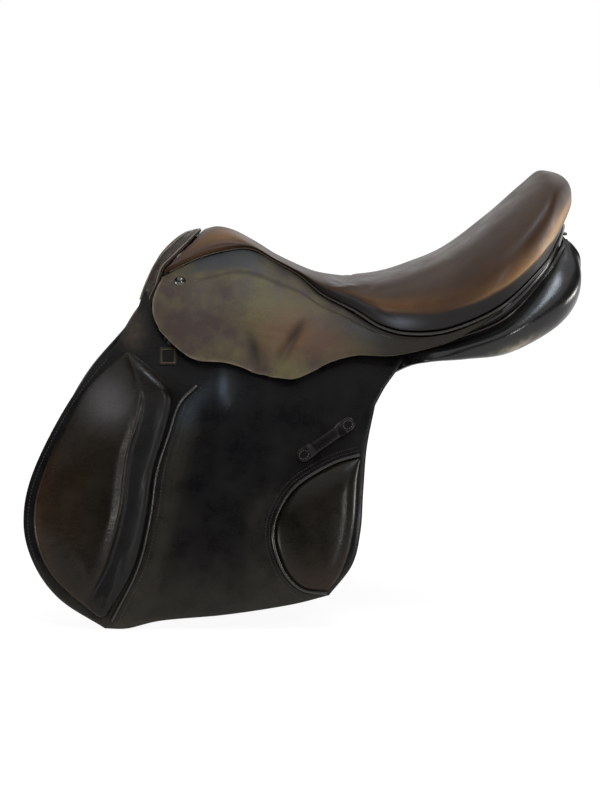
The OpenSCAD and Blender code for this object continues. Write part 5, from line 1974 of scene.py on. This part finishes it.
@dataclass
class Skirt:
    """Long skirt from the pommel to the cantle, free along its lower edge."""

    leather: float = 3.0
    swell: float = 9.0
    tail: float = 0.787
    columns: int = 180
    rows: int = 70
    edge: tuple = (
        (-205, 31), (-186, 13), (-165, 1), (-133, -2), (-98, -12), (-66, -19), (-42, -11), (-22, -1),
        (6, 6), (40, 6), (72, 12), (104, 22), (134, 39), (158, 57),
    )
    out: tuple = (11, 12, 12, 12, 12, 12, 12, 12, 14, 20, 29, 44, 56, 64)
    front: tuple = ((-203, -68, 84), (-209, -79, 74), (-213, -89, 61), (-212, -97, 46))
    # Stitched crease below the seam, as a share of the way to the lower edge
    crease: tuple = (0.30, 0.26, 0.225, 0.20, 0.185, 0.185, 0.20, 0.24, 0.30)
    crease_from: float = 0.10
    crease_to: float = 0.74
    lean: tuple = (0, -0.86, 0.5)
    seat: Seat = field(default_factory=Seat)

    def plain(self, u: Array, v: Array) -> Array:
        """Points of the skirt before its dents and creases.

        Args:
            u: Places from front to rear.
            v: Places from the seam to the lower edge.

        Returns:
            One point a place.
        """
        edge = np.array(self.edge, float)
        half = FACE.half_at(edge[:, 1]) + np.array(self.out)
        bottom = np.stack([edge[:, 0], -half, edge[:, 1]], axis=1)
        t = self.tail * np.linspace(0, 1, 14)
        top = self.seat.seam_at(t) - 2 * self.seat.welt_drop(t)
        front = np.array([top[0], *self.front[1:], bottom[0]])
        p = patch(top, bottom, front, np.array([top[-1], bottom[-1]]), u, v)
        full = self.swell * bump(v, 0.8) * (1 - smooth_step(0.45, 0.75, u)) * smooth_step(0, 0.12, u)
        return p + full[:, None] * np.array(self.lean)

    def crease_at(self, u: Array) -> Array:
        """Place of the stitched crease between the seam and the lower edge."""
        return spline(self.crease, (u - self.crease_from) / (self.crease_to - self.crease_from))

    def relief(self, p: Array, u: Array, v: Array) -> Array:
        """Height of the swells, dents and creases above the plain skirt.

        Args:
            p: Points of the plain skirt.
            u: Their places from front to rear.
            v: Their places from the seam to the lower edge.

        Returns:
            One height a point.
        """
        x, z = p[:, 0], p[:, 2]
        low = smooth_step(34, 6, z)
        dent = -4.4 * bell(x - 0.2 * (12 - z), -104, 9) * low
        pinch = -4.0 * bell(x - 0.6 * (z - 24), -62, 6) * smooth_step(46, 28, z)
        fold = 2.4 * bell(x, -84, 11) * low
        fold = fold + 1.4 * bell(x - 0.5 * (z - 24), -46, 9) * smooth_step(44, 28, z)
        wrinkled = bell(x, -125, 14) * bell(z, 42, 6) + bell(x, -85, 12) * bell(z, 28, 7)
        fold = fold + 0.3 * np.sin(0.6 * z + 0.09 * x) * wrinkled
        crown = 1.2 * bell(x, -150, 30) * bell(z, 52, 14)
        between = smooth_step(self.crease_from, self.crease_from + 0.03, u)
        between = between * smooth_step(self.crease_to, self.crease_to - 0.06, u)
        groove = -1.1 * bell((v - self.crease_at(u)) * 90, 0, 1.3) * between
        line = -0.5 * bell((1 - v) * 90, 4.5, 1.1) - 0.5 * bell(u * 330, 4.5, 1.1)
        swell = 1.6 * waves(p, 60, 4.0) + 0.4 * waves(p, 24, 6.0)
        curl = -1.4 * bell((1 - v) * 90, 0, 2.4) - 0.8 * bell(u * 330, 0, 2.4)
        return (dent + pinch + fold + crown + swell) * smooth_step(0, 0.12, v) + groove + line + curl

    def surface(self, u: Array, v: Array) -> Array:
        """Points of the skirt's outer face."""
        p = self.plain(u, v)
        return p + self.relief(p, u, v)[:, None] * np.array(self.lean)

    def build(self) -> None:
        """Makes both skirts and their stitches."""
        near = raise_sheet("skirt", self.columns, self.rows, self.surface)
        self.paint_leather(near)
        thicken(near, self.leather, 0.7)
        soften(near)
        settle_pair(
            near, "{side}_skirt_leather", [SKIRT_LEATHER, PALE_EDGE], SKIRT_FOLD,
            ["{side}_skirt", "{side}_skirt_top"],
        )
        u = np.linspace(self.crease_from, self.crease_to, 300)
        path = evenly(self.surface(u, self.crease_at(u)), FINE_STITCH.pitch)
        row = FINE_STITCH.sew("skirt_crease", path, np.tile(np.array(self.lean), (len(path), 1)))
        settle_pair(row, "{side}_skirt_stitches", [BROWN_THREAD], "tree")

    def paint_leather(self, near: bpy.types.Object) -> None:
        """Paints the skirt's warm and rubbed places and its painted shade and reflections.

        Args:
            near: The near skirt's open sheet.
        """
        p = places(near) / MM
        x, z = p[:, 0], p[:, 2]
        u, v = grid_places(self.columns, self.rows)
        warm = bell(x, -70, 35) * bell(z, 30, 26) + 0.6 * bell(x, -20, 40) * bell(z, 20, 18)
        paint(near, "glow", np.clip(warm, 0, 1))
        rim = bell((1 - v) * 90, 0, 1.0) + bell(u * 330, 0, 1.2)
        paint(near, "wear_and_highlight", np.clip(rim, 0, 1) * mix(0.35, 0.9, smooth_step(-40, -130, x)))
        valleys = 0.75 * bell(x - 0.2 * (12 - z), -104, 7) * bell(z, 12, 15)
        valleys = valleys + 0.75 * bell(x - 0.6 * (z - 24), -62, 5) * bell(z, 26, 13)
        tail = 0.85 * smooth_step(0.54, 0.72, u)
        top = 0.55 * bell(v, 0.02, 0.05) * smooth_step(0.05, 0.12, u)
        sewn = 0.6 * bell((v - self.crease_at(u)) * 90, 0, 1.0) * smooth_step(0.10, 0.12, u)
        paint(near, "shade", np.clip(valleys + tail + top + sewn, 0, 0.9))
        # painted cool reflection: a dark bluish patch below the seam at the front and a cool tint on the
        # tail
        front = smooth_step(-185, -160, x) * smooth_step(-85, -115, x) * smooth_step(0.24, 0.14, v)
        cool_reflection = np.clip(1.1 * front + 0.6 * bell(x, 5, 30) * bell(v, 0.45, 0.3), 0, 1)
        paint(near, "cool_reflection", cool_reflection * (1 - np.clip(sewn, 0, 1)))
        paint(near, "crease", 0.5 * bell(x, -70, 60) * bell(z, 35, 20))


# Girthing, tree and fittings


def polish_copy(node: str, name: str, edge: float) -> bpy.types.Object:
    """Copies a CAD node and rounds its edges.

    Args:
        node: Name of the node.
        name: Name of the copy.
        edge: Roundness of the edges, in millimetres.

    Returns:
        The copy.
    """
    mesh = bpy.data.objects[node].data.copy()
    obj = bpy.data.objects.new(name, mesh)
    bpy.context.scene.collection.objects.link(obj)
    select_only(obj)
    bpy.ops.object.mode_set(mode="EDIT")
    bpy.ops.mesh.select_all(action="SELECT")
    bpy.ops.mesh.remove_doubles(threshold=0.01 * MM)
    bpy.ops.mesh.dissolve_limited(angle_limit=math.radians(2))
    bpy.ops.object.mode_set(mode="OBJECT")
    round_edges(obj, edge, 40)
    soften(obj, 35)
    return obj


@dataclass
class Girthing:
    """Girth straps and buckle guards; the webs that carry them are finished with the fittings."""

    strap_rise: float = 6.0
    strap_length: float = 222.0
    strap_width: float = 25.0
    strap_pitch: float = 38.0
    strap_x: float = -60.0
    strap_y: float = -96.1
    strap_leather: float = 4.0
    tilt: float = 21.056
    inset: float = 3.0

    def on_strap(self, along: Array, across: Array, out: float) -> Array:
        """Points in the straps' frame: across the strap, down along it and out of it.

        Args:
            along: Distance down the straps.
            across: Distance to the rear of the middle strap.
            out: Height above the straps' middle.

        Returns:
            One point a place.
        """
        turn = math.radians(self.tilt)
        down = np.array([0, -math.sin(turn), -math.cos(turn)])
        outward = np.array([0, -math.cos(turn), math.sin(turn)])
        head = np.array([self.strap_x, self.strap_y, self.strap_rise])
        return head + np.outer(across, [1, 0, 0]) + np.outer(along, down) + out * outward

    def build(self) -> None:
        """Dresses the straps, their stitches and the guards."""
        turn = math.radians(self.tilt)
        outward = np.array([0, -math.cos(turn), math.sin(turn)])
        for k, place in enumerate(("front", "middle", "rear")):
            node, strap = f"{{side}}_{place}_girth_strap", f"{{side}}_{place}_strap"
            near = polish_copy(node.format(side=Side.NEAR.value), "strap", 0.7)
            settle_pair(near, f"{strap}_leather", [STRAP_LEATHER], strap, [node])
            half = self.strap_width / 2 - self.inset
            run = np.linspace(self.strap_width / 2, self.strap_length - self.strap_width / 2, 60)
            middle = (k - 1) * self.strap_pitch
            for name, edge in (("fore", middle - half), ("aft", middle + half)):
                line = self.on_strap(run, np.full_like(run, edge), self.strap_leather / 2)
                path = evenly(line, STITCH.pitch)
                row = STITCH.sew("strap_row", path, np.tile(outward, (len(path), 1)))
                settle_pair(row, f"{strap}_stitches_{name}", [DARK_THREAD], strap)
        guard = polish_copy("left_buckle_guard", "guard", 0.8)
        nodes = ["{side}_buckle_guard"]
        settle_pair(guard, "{side}_guard_leather", [STRAP_LEATHER], "{side}_guard", nodes)


@dataclass
class Fittings:
    """Tree, steel fittings and webbing, which keep their CAD shapes."""

    finishes: tuple = (
        (TREE_WOOD, ("tree_head", "tree_rails", "tree_cantle")),
        (TREE_STEEL, ("gullet_plate", "spring_strips", "bar_rivets")),
        (WEBBING, ("seat_webbing", "girth_webs")),
        (LINING, ("channel_lining",)),
        (STRAP_LEATHER, ("point_pockets",)),
        (BRIGHT_STEEL, ("left_stirrup_bar", "right_stirrup_bar", "left_bar_catch", "right_bar_catch")),
        (BRIGHT_STEEL, ("catch_pins", "dee_staples", "left_dee", "right_dee")),
        (NAIL_STEEL, ("skirt_nails", "rear_staple")),
    )

    def build(self, nodes: dict[str, bpy.types.Object]) -> None:
        """Gives each kept node its finish.

        Args:
            nodes: The frame's objects by node name.
        """
        rows = [(name, finish) for finish, names in self.finishes for name in names]
        for name, finish in rows:
            mesh = nodes[name].data
            mesh.materials.clear()
            mesh.materials.append(finish.material())
            LOG.info("%s keeps its shape", name)


def main() -> None:
    """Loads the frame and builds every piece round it."""
    logging.basicConfig(level=logging.INFO, format="%(name)s: %(message)s")
    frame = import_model()
    bpy.ops.object.select_all(action="DESELECT")
    Studio().build()
    Fittings().build(frame["nodes"])
    for assembly in (Seat(), Panel(), Flap(), Skirt(), Girthing()):
        assembly.build()


if __name__ == "__main__":
    main()
